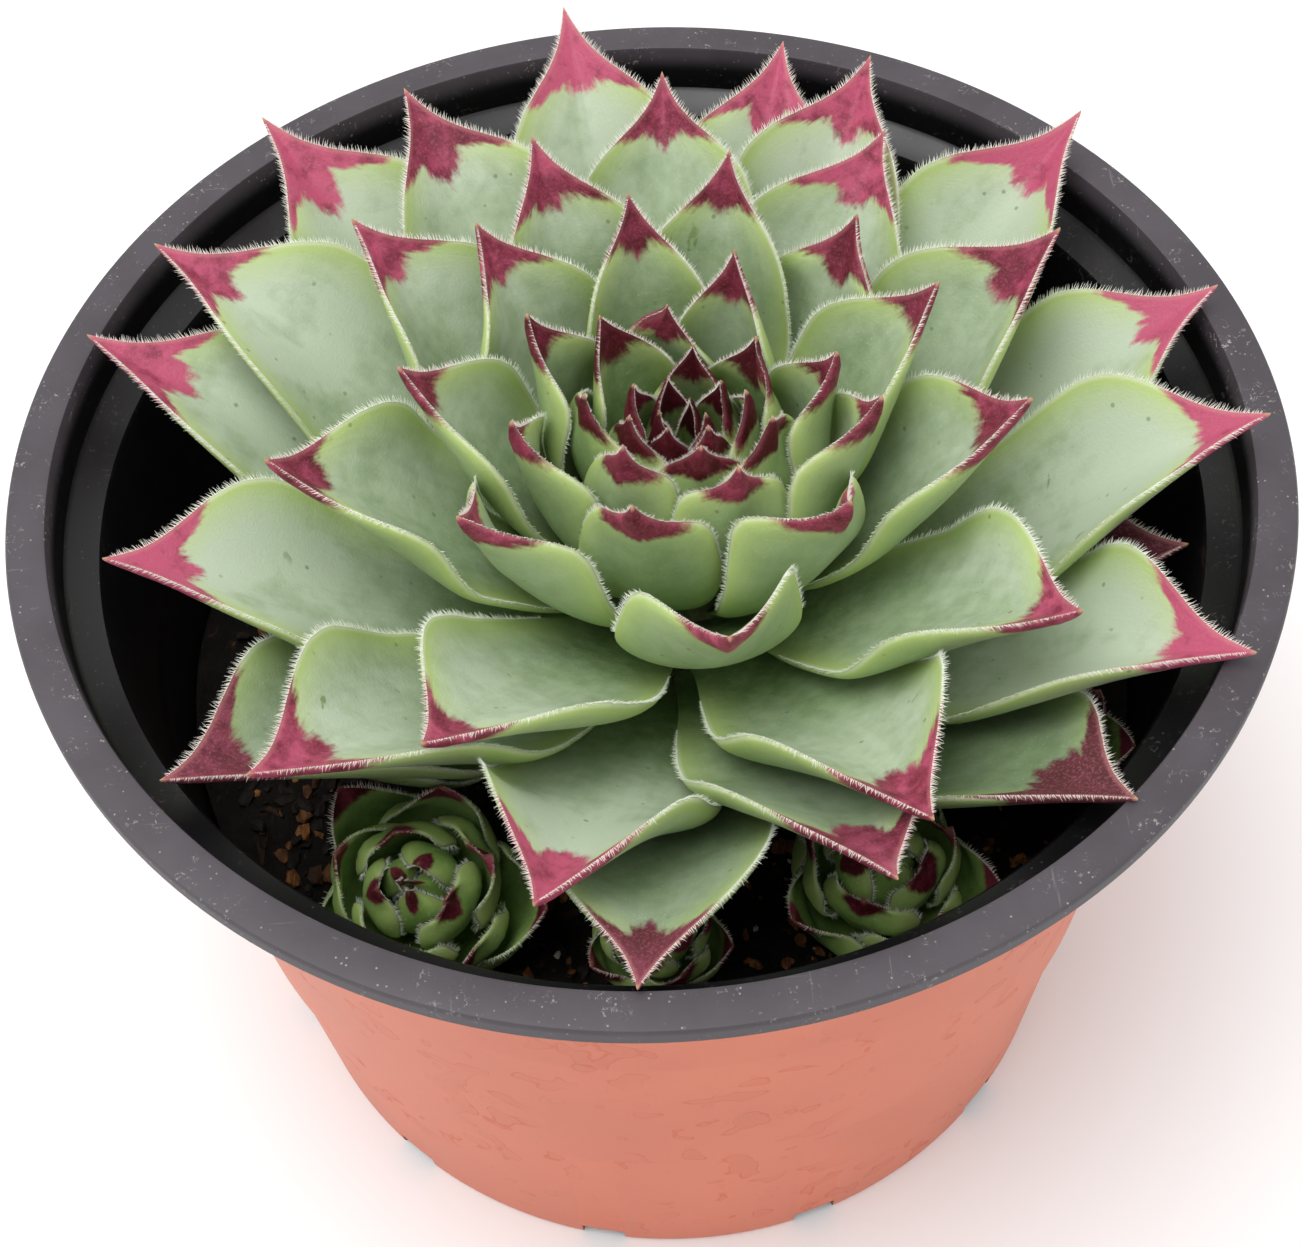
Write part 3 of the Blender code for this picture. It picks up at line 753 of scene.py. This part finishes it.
class Blade:
    """The form of one leaf: where a point of its skin lies for a share along and across."""

    def __init__(self, plan, character, outline=OUTLINE, bent=(0.0, 0.0, 0.0)):
        self.turn, self.base, self.tip, self.bend, self.width, self.flesh = plan
        self.character = character
        self.outline = outline
        self.bent = np.array(bent) * MM
        self.sink = np.zeros((PRESS_ROWS, PRESS_COLUMNS))
        rise = atan2(self.tip[1] - self.base[1], self.tip[0] - self.base[0])
        chord = hypot(self.tip[0] - self.base[0], self.tip[1] - self.base[1])
        self.start = rise - radians(self.bend) / 2
        self.arc = chord / (2 * sin(radians(self.bend) / 2))
        self.length = self.arc * radians(self.bend)

    def half_width(self, along):
        return smooth_curve(self.outline, along) * self.width / 2

    def lift(self, along, across):
        """How far the blade stands off its plain arc: cupped, folded at the tip and waved."""
        c = self.character
        wide = smooth_curve(self.outline, along)
        outer = ramp(along, 0.25, 0.7)
        cup = c["cup"] * outer * wide**1.3 * across**2
        fold = c["fold"] * ramp(along, 0.5, 0.85) * self.half_width(along) * np.sqrt(across**2 + 0.004)
        wave = c["wave"] * outer * wide * np.abs(across) ** 3
        wave = wave * np.sin(along * c["ripples"] + c["phase"] + np.sign(across) * c["offset"])
        arch = c["arch"] * np.sin(pi * np.clip((along - 0.45) / 0.55, 0.0, 1.0)) ** 2
        curl = c["curl"] * np.clip((along - 0.86) / 0.14, 0.0, 1.0) ** 2
        return cup + fold + wave + arch + curl

    def frame(self, along, across):
        """Point on the blade, and its directions along, across and up."""
        slope = self.start + radians(self.bend) * along
        reach = self.base[0] + self.arc * (np.sin(slope) - sin(self.start))
        height = self.base[1] + self.arc * (cos(self.start) - np.cos(slope))
        hook = self.character["hook"] * np.clip((along - 0.7) / 0.3, 0.0, 1.0) ** 2
        side = across * self.half_width(along) + hook
        angle = radians(self.turn) + side / np.maximum(reach, self.width / 2)
        out = np.stack((np.cos(angle), np.sin(angle), np.zeros_like(angle)), -1)
        sideways = np.stack((-np.sin(angle), np.cos(angle), np.zeros_like(angle)), -1)
        steep = slope[..., None]
        point = out * reach[..., None] + UPWARD * height[..., None]
        share = ramp(along, 0.3, 1.15)[..., None] / ramp(1.0, 0.3, 1.15)
        outward, upward, aside = self.bent
        point = point + (out * outward + sideways * aside + UPWARD * upward) * share
        ahead = out * np.cos(steep) + UPWARD * np.sin(steep)
        up = UPWARD * np.cos(steep) - out * np.sin(steep)
        return point, ahead, sideways, up

    def skin(self, along, across, under):
        """A point of the skin: the flat upper face, or the fleshy under face."""
        point, _, _, up = self.frame(along, across)
        round_off = np.sqrt(np.clip(1.0 - across**2, 0.0, 1.0))
        body = (0.3 + 0.7 * ramp(along, 0.0, 0.4)) * (1.0 - 0.5 * ramp(along, 0.66, 0.95))
        body = body * np.clip((1.0 - along) / 0.07, 0.0, 1.0) ** 0.5
        thick = np.where(under, -self.flesh * body * round_off**0.62, UPPER_SWELL * round_off * body)
        sunk = read_grid(self.sink, along * (PRESS_ROWS - 1), (across + 1) / 2 * (PRESS_COLUMNS - 1))
        return point + up * (thick + self.lift(along, across) - sunk)[..., None]


def leaf_character(rng, size, age):
    """The small differences between one leaf and the next. Size is against a full-grown leaf."""
    return {
        "cup": rng.uniform(1.0, 1.9) * MM * size,
        "fold": rng.uniform(0.25, 0.6),
        "wave": rng.uniform(0.1, 0.4) * MM * size,
        "ripples": rng.uniform(11.0, 19.0),
        "phase": rng.uniform(0.0, 2 * pi),
        "offset": rng.uniform(0.3, 1.4),
        "arch": rng.uniform(-0.1, 0.5) * MM * size,
        "curl": rng.uniform(-0.4, 0.4) * MM * size,
        "hook": rng.uniform(-0.5, 0.5) * MM * size,
        "seed": rng.uniform(0.0, 1.0),
        "deep": 1.1 - 1.05 * age**0.8 + rng.uniform(-0.12, 0.12),
    }


def leaf_piece(blade, place, patch, faces, low=0.0):
    """One leaf: a ball whose poles become the leaf's base and point, laid on the blade's form.

    Its rings crowd toward the point, and each of its points stores what leaf_look reads.
    """
    segments, rings = faces
    deselect_all()
    bpy.ops.mesh.primitive_uv_sphere_add(segments=segments, ring_count=rings, radius=1.0)
    leaf = bpy.context.object
    ball = read_points(leaf.data)
    around = np.arctan2(ball[:, 1], ball[:, 0])
    share = np.arccos(np.clip(ball[:, 2], -1.0, 1.0)) / pi
    along = 1.0 - (1.0 - share) ** POINT_CROWDING
    across = np.where(np.abs(ball[:, 2]) > 0.99999, 0.0, np.cos(around))
    under = np.sin(around) < -1e-4
    points = blade.skin(along, across, under)
    place = np.array(place)
    write_points(leaf.data, points @ place[:3, :3].T + place[:3, 3])
    half = blade.half_width(along)
    stops = np.linspace(0.0, 1.0, 200)
    gradient = np.gradient(blade.half_width(stops), blade.length / 199)
    lean = np.interp(along, stops, gradient)
    flank = np.where(under, np.abs(np.sin(around)) ** 0.6 * blade.flesh * 0.6, 0.0)
    edge = (1.0 - np.abs(across)) * half / np.sqrt(1.0 + lean**2) + flank
    # Low is the share of painted shade for a leaf that lies under others.
    add_values(
        leaf.data, tip=(1.0 - along) * blade.length / MM, edge=edge / MM, across=across,
        under=under.astype(float), along=along, patch=patch / MM, seed=blade.character["seed"],
        deep=blade.character["deep"], low=low,
    )
    deselect_all()
    leaf.select_set(True)
    bpy.ops.object.shade_smooth()
    return leaf


def hair_places(blade, place, rng, size, patch):
    """Places of the hairs on both margins of one leaf, with a shade and a blush for each."""
    places, shades, blushes = [], [], []
    first, last = HAIRY_STRETCH
    along = np.linspace(first, last, 300)
    for side in (-1.0, 1.0):
        across = np.full_like(along, side)
        margin = blade.skin(along, across, np.zeros_like(along, bool))
        steps = np.linalg.norm(np.diff(margin, axis=0), axis=1)
        travelled = np.concatenate(((0.0,), np.cumsum(steps)))
        spacing = HAIR_SPACING * (0.6 + 0.4 * size)
        stops = np.arange(0.0, travelled[-1], spacing)
        stops = stops + rng.uniform(-0.35, 0.35, len(stops)) * spacing
        spots = np.interp(stops, travelled, along)
        root = np.stack([np.interp(stops, travelled, margin[:, k]) for k in range(3)], -1)
        _, _, sideways, up = blade.frame(spots, np.full_like(spots, side))
        course = np.stack([np.interp(stops, travelled, np.gradient(margin[:, k])) for k in range(3)], -1)
        course /= np.linalg.norm(course, axis=1)[:, None]
        outward = sideways * side
        outward -= course * np.sum(outward * course, axis=1)[:, None]
        outward /= np.linalg.norm(outward, axis=1)[:, None]
        count = len(spots)
        lean = rng.uniform(0.15, 0.75, count)[:, None]
        raised = rng.uniform(-0.1, 0.75, count)[:, None]
        axis = outward + course * lean + up * raised
        axis /= np.linalg.norm(axis, axis=1)[:, None]
        length = HAIR_LENGTH * (0.32 + 0.68 * size) * rng.uniform(0.55, 1.15, count)
        length *= 1.0 - 0.45 * ramp(spots, 0.93, last)
        length *= 0.45 + 0.55 * ramp(spots, first, 0.45)
        for k in range(count):
            turn = Vector(axis[k]).to_track_quat("Z", "Y").to_matrix().to_4x4()
            shape = Matrix.Diagonal((HAIR_RADIUS, HAIR_RADIUS, length[k], 1.0))
            spot = Vector(root[k] - outward[k] * HAIR_RADIUS * 1.5)
            places.append(place @ Matrix.Translation(spot) @ turn @ shape)
        shades.append(rng.uniform(0.0, 1.0, count))
        tip = (1.0 - spots) * blade.length
        blushes.append(ramp(-tip, -patch * 1.2, -patch * 0.4) * rng.uniform(0.1, 0.6, count))
    return places, np.concatenate(shades), np.concatenate(blushes)


class Hairs:
    """Collects hairs leaf by leaf and makes them one object of small three-sided spikes."""

    def __init__(self):
        self.places, self.shades, self.blushes = [], [], []

    def add(self, *made):
        self.places += made[0]
        self.shades.append(made[1])
        self.blushes.append(made[2])

    def piece(self, name, look):
        deselect_all()
        bpy.ops.mesh.primitive_cone_add(
            vertices=3, radius1=1.0, radius2=0.0, depth=1.0, location=(0.0, 0.0, 0.5), end_fill_type="NGON"
        )
        source = bpy.context.object
        bpy.ops.object.transform_apply(location=True, rotation=True, scale=True)
        values = {"shade": np.concatenate(self.shades), "blush": np.concatenate(self.blushes)}
        made = scattered(name, source, self.places, values, look)
        bpy.data.objects.remove(source)
        return made


def plant_place():
    """Where the main rosette's own axis and soil level lie."""
    return Matrix.Translation((*ROSETTE_CENTRE, SOIL_TOP))


def main_blade(number, rng, spread, age):
    """The blade of one leaf of the main rosette, and its size against a full-grown leaf."""
    turn, base, tip, bend, width, flesh = leaf_plan(number)
    size = width / FULL_WIDTH
    plan = (turn, base, tip, bend, width * spread, flesh)
    bent = BENT_POINTS.get(number, (0.0, 0.0, 0.0))
    return Blade(plan, leaf_character(rng, size, age), bent=bent), size


def build_main_leaves(look, hairs, above):
    """Every leaf of the main rosette outside the bud replaces the frame's leaf of that number."""
    for name in sorted(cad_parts):
        if not name.startswith("leaf_"):
            continue
        number = int(name.split("_")[1])
        rng = np.random.default_rng(number)
        blade, size = main_blade(number, rng, BLADE_SPREAD, min(number / FULL_AGE, 1.0))
        above.settle(blade)
        patch = interpolate(PATCH_LENGTHS, number)[0] * rng.uniform(0.85, 1.15)
        leaf = leaf_piece(blade, plant_place(), patch, LEAF_FACES, PAINTED_SHADE_LEAVES.get(number, 0.0))
        finish_piece(leaf, f"{name}_blade", look)
        hairs.add(*hair_places(blade, plant_place(), rng, size, patch))
        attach(leaf, BODY)
        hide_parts(name)


def build_bud(look, hairs, above):
    """The innermost leaves, as one piece."""
    leaves = []
    for number in range(BUD_LEAVES):
        rng = np.random.default_rng(number)
        blade, size = main_blade(number, rng, BUD_SPREAD, 0.0)
        above.settle(blade)
        patch = interpolate(PATCH_LENGTHS, number)[0] * rng.uniform(0.9, 1.1)
        leaves.append(leaf_piece(blade, plant_place(), patch, SMALL_LEAF_FACES))
        hairs.add(*hair_places(blade, plant_place(), rng, size, patch))
    bud = finish_piece(joined(leaves, "bud_leaves"), "bud_leaves", look)
    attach(bud, BODY)
    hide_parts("bud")


def build_side_rosettes(look, hairs):
    """Each young rosette, as one piece that leans out from under the main one."""
    for count, (name, x, y, lean_turn, lean, size) in enumerate(SIDE_ROSETTES):
        axis = Vector((-sin(radians(lean_turn)), cos(radians(lean_turn)), 0.0))
        foot = Vector((x, y, SOIL_TOP + CLEARANCE))
        place = Matrix.Translation(foot) @ Matrix.Rotation(radians(lean), 4, axis)
        leaves = []
        above = LeavesAbove()
        for number in range(SIDE_LEAVES):
            rng = np.random.default_rng(1000 + count * 100 + number)
            plan = side_leaf_plan(number, size)
            share = plan[4] / FULL_WIDTH
            blade = Blade(plan, leaf_character(rng, share, SIDE_CHARACTER_AGE), YOUNG_OUTLINE)
            above.settle(blade)
            patch = rng.uniform(*SIDE_PATCH) * (HEART_PATCH_SHARE if number < HEART_LEAVES else 1.0)
            leaves.append(leaf_piece(blade, place, patch, SMALL_LEAF_FACES))
            hairs.add(*hair_places(blade, place, rng, share * SIDE_HAIR_SHARE, patch))
        rosette = finish_piece(joined(leaves, name + "_leaves"), name + "_leaves", look)
        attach(rosette, BODY)
        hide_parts(name)


# ---------------------------------------------------------------- pot


def turned(name, profile, segments):
    """A solid turned about Z: a disc drawn up ring by ring through the profile's radii and heights."""
    deselect_all()
    radius, height = profile[0]
    bpy.ops.mesh.primitive_circle_add(
        vertices=segments, radius=radius, fill_type="NGON", location=(0.0, 0.0, height), enter_editmode=True
    )
    bpy.ops.mesh.select_all(action="SELECT")
    for next_radius, next_height in profile[1:]:
        bpy.ops.mesh.extrude_region_move(
            TRANSFORM_OT_translate={"value": (0.0, 0.0, next_height - height), "orient_type": "GLOBAL"}
        )
        growth = next_radius / radius
        bpy.ops.transform.resize(value=(growth, growth, 1.0), center_override=(0.0, 0.0, next_height))
        radius, height = next_radius, next_height
    bpy.ops.mesh.select_all(action="SELECT")
    bpy.ops.mesh.normals_make_consistent(inside=False)
    bpy.ops.object.mode_set(mode="OBJECT")
    made = bpy.context.object
    made.name = name
    return made


def wall_line():
    """The pot's outer side from under the rim to the foot: radius, height."""
    collar_radius = RIM_RADIUS - RIM_WIDTH + POT_WALL
    top = RIM_TOP - POT_WALL
    ledge = top - COLLAR_HEIGHT
    body_top = ledge - LEDGE_RISE
    slope = (BODY_TAPER - STEP_WIDTH * len(STEP_HEIGHTS)) / body_top
    ease = WALL_EASE
    line = [(collar_radius, top), (collar_radius - POT_WALL / 2 + ease / 4, ledge + ease)]
    line += [(collar_radius - POT_WALL / 2 - ease, ledge - ease / 4)]
    line += [(BODY_TOP_RADIUS + ease, body_top + ease / 2), (BODY_TOP_RADIUS, body_top - ease)]
    for count, height in enumerate(STEP_HEIGHTS):
        radius = BODY_TOP_RADIUS - slope * (body_top - height) - STEP_WIDTH * count
        line.append((radius + slope * ease, height + ease))
        line.append((radius - ease / 2, height - ease / 3))
        line.append((radius - STEP_WIDTH + ease / 3, height - STEP_WIDTH + ease / 4))
        line.append((radius - STEP_WIDTH - slope * ease, height - STEP_WIDTH - ease))
    line += [(BASE_RADIUS + slope * FOOT_ROUND, FOOT_ROUND)]
    line += [(BASE_RADIUS - FOOT_EASE * 0.4, FOOT_EASE), (BASE_RADIUS - FOOT_EASE * 2.0, 0.0)]
    return line


def pot_profile():
    """The whole section of the shell: floor, inner wall, rim, outer wall and underside."""
    foot_inner = BASE_RADIUS - FOOT_WIDTH
    panel_edge = foot_inner - FOOT_SLOPE
    outer = wall_line()
    inner = [(radius - POT_WALL, height + POT_WALL) for radius, height in reversed(outer)]
    floor = [
        (AXIS_HOLE, BASE_LIFT + POT_WALL),
        (panel_edge + POT_WALL / 2, BASE_LIFT + POT_WALL),
        (foot_inner + POT_WALL / 2, POT_WALL),
    ]
    mouth = inner[-1][0]
    inner[-1] = (mouth, RIM_TOP - INNER_EASE * 3.0)
    rim = [
        (mouth + INNER_EASE, RIM_TOP - INNER_EASE * 0.8),
        (mouth + INNER_EASE * 3.5, RIM_TOP),
        (RIM_RADIUS - RIM_EASE * 1.4, RIM_TOP - INNER_EASE * 0.2),
        (RIM_RADIUS - RIM_EASE * 0.45, RIM_TOP - RIM_EASE * 0.3),
        (RIM_RADIUS - RIM_EASE * 0.05, RIM_TOP - RIM_EASE * 0.9),
        (RIM_RADIUS, RIM_TOP - RIM_EASE * 1.7),
        (RIM_RADIUS, RIM_TOP - LIP_DROP + LIP_EASE),
        (RIM_RADIUS - LIP_EASE, RIM_TOP - LIP_DROP),
        (RIM_RADIUS - POT_WALL + INNER_EASE, RIM_TOP - LIP_DROP),
        (RIM_RADIUS - POT_WALL, RIM_TOP - LIP_DROP + INNER_EASE),
        (RIM_RADIUS - POT_WALL, RIM_TOP - POT_WALL),
    ]
    underside = [(foot_inner, 0.0), (panel_edge, BASE_LIFT), (AXIS_HOLE, BASE_LIFT)]
    return floor + inner + rim + outer + underside


def drain_cutter():
    """Slots through the foot ring, one box for each, all in one object."""
    reach = FOOT_WIDTH + FOOT_SLOPE
    boxes = []
    for count in range(DRAIN_COUNT):
        turn = radians(DRAIN_FIRST_ANGLE + 360.0 * count / DRAIN_COUNT)
        distance = BASE_RADIUS - FOOT_WIDTH / 2
        deselect_all()
        bpy.ops.mesh.primitive_cube_add(
            size=1.0, location=(distance * cos(turn), distance * sin(turn), 0.0),
            rotation=(0.0, 0.0, turn), scale=(reach, DRAIN_WIDTH, 2 * DRAIN_HEIGHT),
        )
        boxes.append(bpy.context.object)
    return joined(boxes, "drain_slots")


def build_pot(black, terracotta):
    """The shell with its drain slots, black above and inside, terracotta outside and below."""
    pot = turned("pot_shell", pot_profile(), POT_SEGMENTS)
    cutter = drain_cutter()
    bpy.context.view_layer.objects.active = pot
    drains = pot.modifiers.new("drains", "BOOLEAN")
    drains.operation = "DIFFERENCE"
    drains.object = cutter
    bpy.ops.object.modifier_apply(modifier="drains")
    bpy.data.objects.remove(cutter)
    finish_piece(pot, "pot_shell", black, terracotta)
    # The outer wall's own side and the underside are terracotta, and all the rest is black.
    outer_radii, heights = np.array(wall_line()[::-1]).T
    lip_foot = RIM_TOP - LIP_DROP - INNER_EASE / 2
    for face in pot.data.polygons:
        middle = face.center
        wall = np.interp(middle.z, heights, outer_radii)
        outside = hypot(middle.x, middle.y) > wall - POT_WALL * 0.55
        below = middle.z < BASE_LIFT + POT_WALL / 2 and face.normal.z < -0.2
        face.material_index = int((outside and middle.z < lip_foot) or below)
    deselect_all()
    pot.select_set(True)
    bpy.context.view_layer.objects.active = pot
    bpy.ops.object.shade_smooth_by_angle(angle=radians(SHARP_EDGE))
    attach(pot, BODY)
    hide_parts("pot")


# ---------------------------------------------------------------- soil


def soil_height(x, y):
    """The lie of the peat: lumps a few millimetres across."""
    spot = Vector((x, y, 0.0)) / MM
    lumps = noise.fractal(spot / 5.0, 1.0, 2.1, 4) * 1.3 + abs(noise.noise(spot / 1.7)) * 1.1
    return lumps * MM


def build_soil(look):
    """Peat inside the pot, its top drawn in fine rings and lifted into lumps."""
    low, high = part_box("soil")
    side = high.x - WALL_GAP
    edge_height = high.z - LUMP_HEIGHT
    bottom = low.z + SOIL_FLOOR_GAP
    rings = [(radius * MM, edge_height) for radius in np.arange(RINGS_FROM, side / MM, RINGS_APART)]
    foot = [(side, edge_height), (side - SOIL_SHOULDER[0], edge_height - SOIL_SHOULDER[1])]
    foot_radius = BASE_RADIUS - POT_WALL - SOIL_FOOT_INSET
    foot += [(foot_radius + 1.0 * MM, low.z + SOIL_FOOT_HEIGHT)]
    foot += [(foot_radius - SOIL_FOOT_ROUND, bottom), (AXIS_HOLE, bottom)]
    soil = turned("peat_bed", rings + foot, SOIL_SEGMENTS)
    finish_piece(soil, "peat_bed", look)
    points = read_points(soil.data)
    for k, (x, y, z) in enumerate(points):
        if z > edge_height - 0.1 * MM:
            calm = min(1.0, (side - hypot(x, y)) / LUMP_FADE + 0.25)
            points[k, 2] = z + soil_height(x, y) * calm
    write_points(soil.data, points)
    deselect_all()
    soil.select_set(True)
    bpy.ops.object.shade_smooth()
    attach(soil, BODY)
    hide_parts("soil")


def chip_source(rng):
    """A small torn lump: a ball squeezed and knocked about."""
    deselect_all()
    bpy.ops.mesh.primitive_ico_sphere_add(subdivisions=1, radius=1.0)
    chip = bpy.context.object
    points = read_points(chip.data)
    for k, point in enumerate(points):
        spot = Vector(point) * 1.3 + Vector((rng.uniform(0, 50), 0, 0))
        points[k] = point * (1.0 + 0.45 * noise.noise(spot))
    write_points(chip.data, points)
    return chip


def scatter_on_soil(rng, count, least, most, reach):
    """Random places on the soil, more of them toward the wall, with a shade for each."""
    places, shades = [], []
    edge_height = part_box("soil")[1].z - LUMP_HEIGHT
    for _ in range(count):
        turn = rng.uniform(0.0, 2 * pi)
        distance = reach * rng.uniform(0.3, 1.0) ** 0.6
        x, y = distance * cos(turn), distance * sin(turn)
        size = least + (most - least) * rng.uniform(0.0, 1.0) ** 2
        shape = Matrix.Diagonal((size, size * rng.uniform(0.4, 0.8), size * rng.uniform(0.2, 0.5), 1.0))
        lie = Matrix.Rotation(rng.uniform(0, 2 * pi), 4, "Z")
        lie = lie @ Matrix.Rotation(rng.uniform(-0.8, 0.8), 4, "X")
        height = edge_height + soil_height(x, y) + size * rng.uniform(0.0, 0.35)
        places.append(Matrix.Translation((x, y, height)) @ lie @ shape)
        shades.append(rng.uniform(0.0, 1.0))
    return places, np.array(shades)


def build_litter(bark, grit):
    """Bark crumbs over the peat and a few pale grains on them."""
    rng = np.random.default_rng(7)
    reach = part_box("soil")[1].x - LITTER_MARGIN
    for name, count, least, most, look in (
        ("bark_crumbs", 2600, 0.3 * MM, 1.15 * MM, bark),
        ("pale_grains", 60, 0.18 * MM, 0.5 * MM, grit),
    ):
        source = chip_source(rng)
        places, shades = scatter_on_soil(rng, count, least, most, reach)
        litter = scattered(name, source, places, {"shade": shades}, look)
        bpy.data.objects.remove(source)
        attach(litter, BODY)


# ---------------------------------------------------------------- floor, light and camera


def build_floor(look):
    deselect_all()
    bpy.ops.mesh.primitive_plane_add(size=FLOOR_SIZE)
    floor = finish_piece(bpy.context.object, "floor", look)


def area_light(name, place, target, size, power):
    light = bpy.data.lights.new(name, "AREA")
    light.shape = "DISK"
    light.size = size
    light.energy = power
    lamp = bpy.data.objects.new(name, light)
    bpy.context.scene.collection.objects.link(lamp)
    lamp.location = place
    lamp.rotation_euler = (Vector(target) - Vector(place)).to_track_quat("-Z", "Y").to_euler()


def build_light():
    world = bpy.data.worlds.new("studio")
    bpy.context.scene.world = world
    world.use_nodes = True
    world.node_tree.nodes["Background"].inputs["Color"].default_value = (1.0, 1.0, 1.0, 1.0)
    world.node_tree.nodes["Background"].inputs["Strength"].default_value = ROOM_BRIGHTNESS
    heart = (0.0, 0.0, RIM_TOP)
    area_light("key_light", KEY_LIGHT_PLACE, heart, KEY_LIGHT_SIZE, KEY_LIGHT_POWER)


def build_camera():
    rise = radians(CAMERA_RISE)
    place = Vector((0.0, -CAMERA_DISTANCE * cos(rise), RIM_TOP + CAMERA_DISTANCE * sin(rise)))
    target = Vector((*CAMERA_AIM, RIM_TOP))
    camera = bpy.data.objects.new("camera", bpy.data.cameras.new("camera"))
    bpy.context.scene.collection.objects.link(camera)
    camera.location = place
    look_down = (target - place).to_track_quat("-Z", "Y")
    camera.rotation_euler = (look_down.to_matrix() @ Matrix.Rotation(radians(CAMERA_ROLL), 3, "Z")).to_euler()
    camera.data.sensor_width = SENSOR_WIDTH
    camera.data.lens = CAMERA_LENS
    camera.data.clip_start = NEAREST_SEEN
    bpy.context.scene.camera = camera


def build():
    bpy.context.scene.view_settings.view_transform = "Standard"
    build_camera()
    build_light()
    build_floor(floor_look())
    green = leaf_look(
        "leaf_skin", deep_green=(0.215, 0.325, 0.12), bloom_green=(0.5, 0.585, 0.44),
        lime=(0.47, 0.6, 0.2), bloom_share=0.95, shadow_green=(0.13, 0.225, 0.065),
    )
    young = leaf_look(
        "young_leaf_skin", deep_green=(0.21, 0.35, 0.08), bloom_green=(0.34, 0.46, 0.2),
        lime=(0.37, 0.5, 0.15), bloom_share=0.5, shadow_green=(0.13, 0.26, 0.04), young=True,
    )
    hairs = Hairs()
    above = LeavesAbove()
    build_bud(green, hairs, above)
    build_main_leaves(green, hairs, above)
    build_side_rosettes(young, hairs)
    fringe = hairs.piece("leaf_hairs", hair_look())
    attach(fringe, BODY)
    build_pot(black_plastic(), terracotta_plastic())
    build_soil(peat_look())
    build_litter(bark_look(), grit_look())
    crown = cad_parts["crown"]
    crown.data.materials.clear()
    crown.data.materials.append(crown_look())


build()
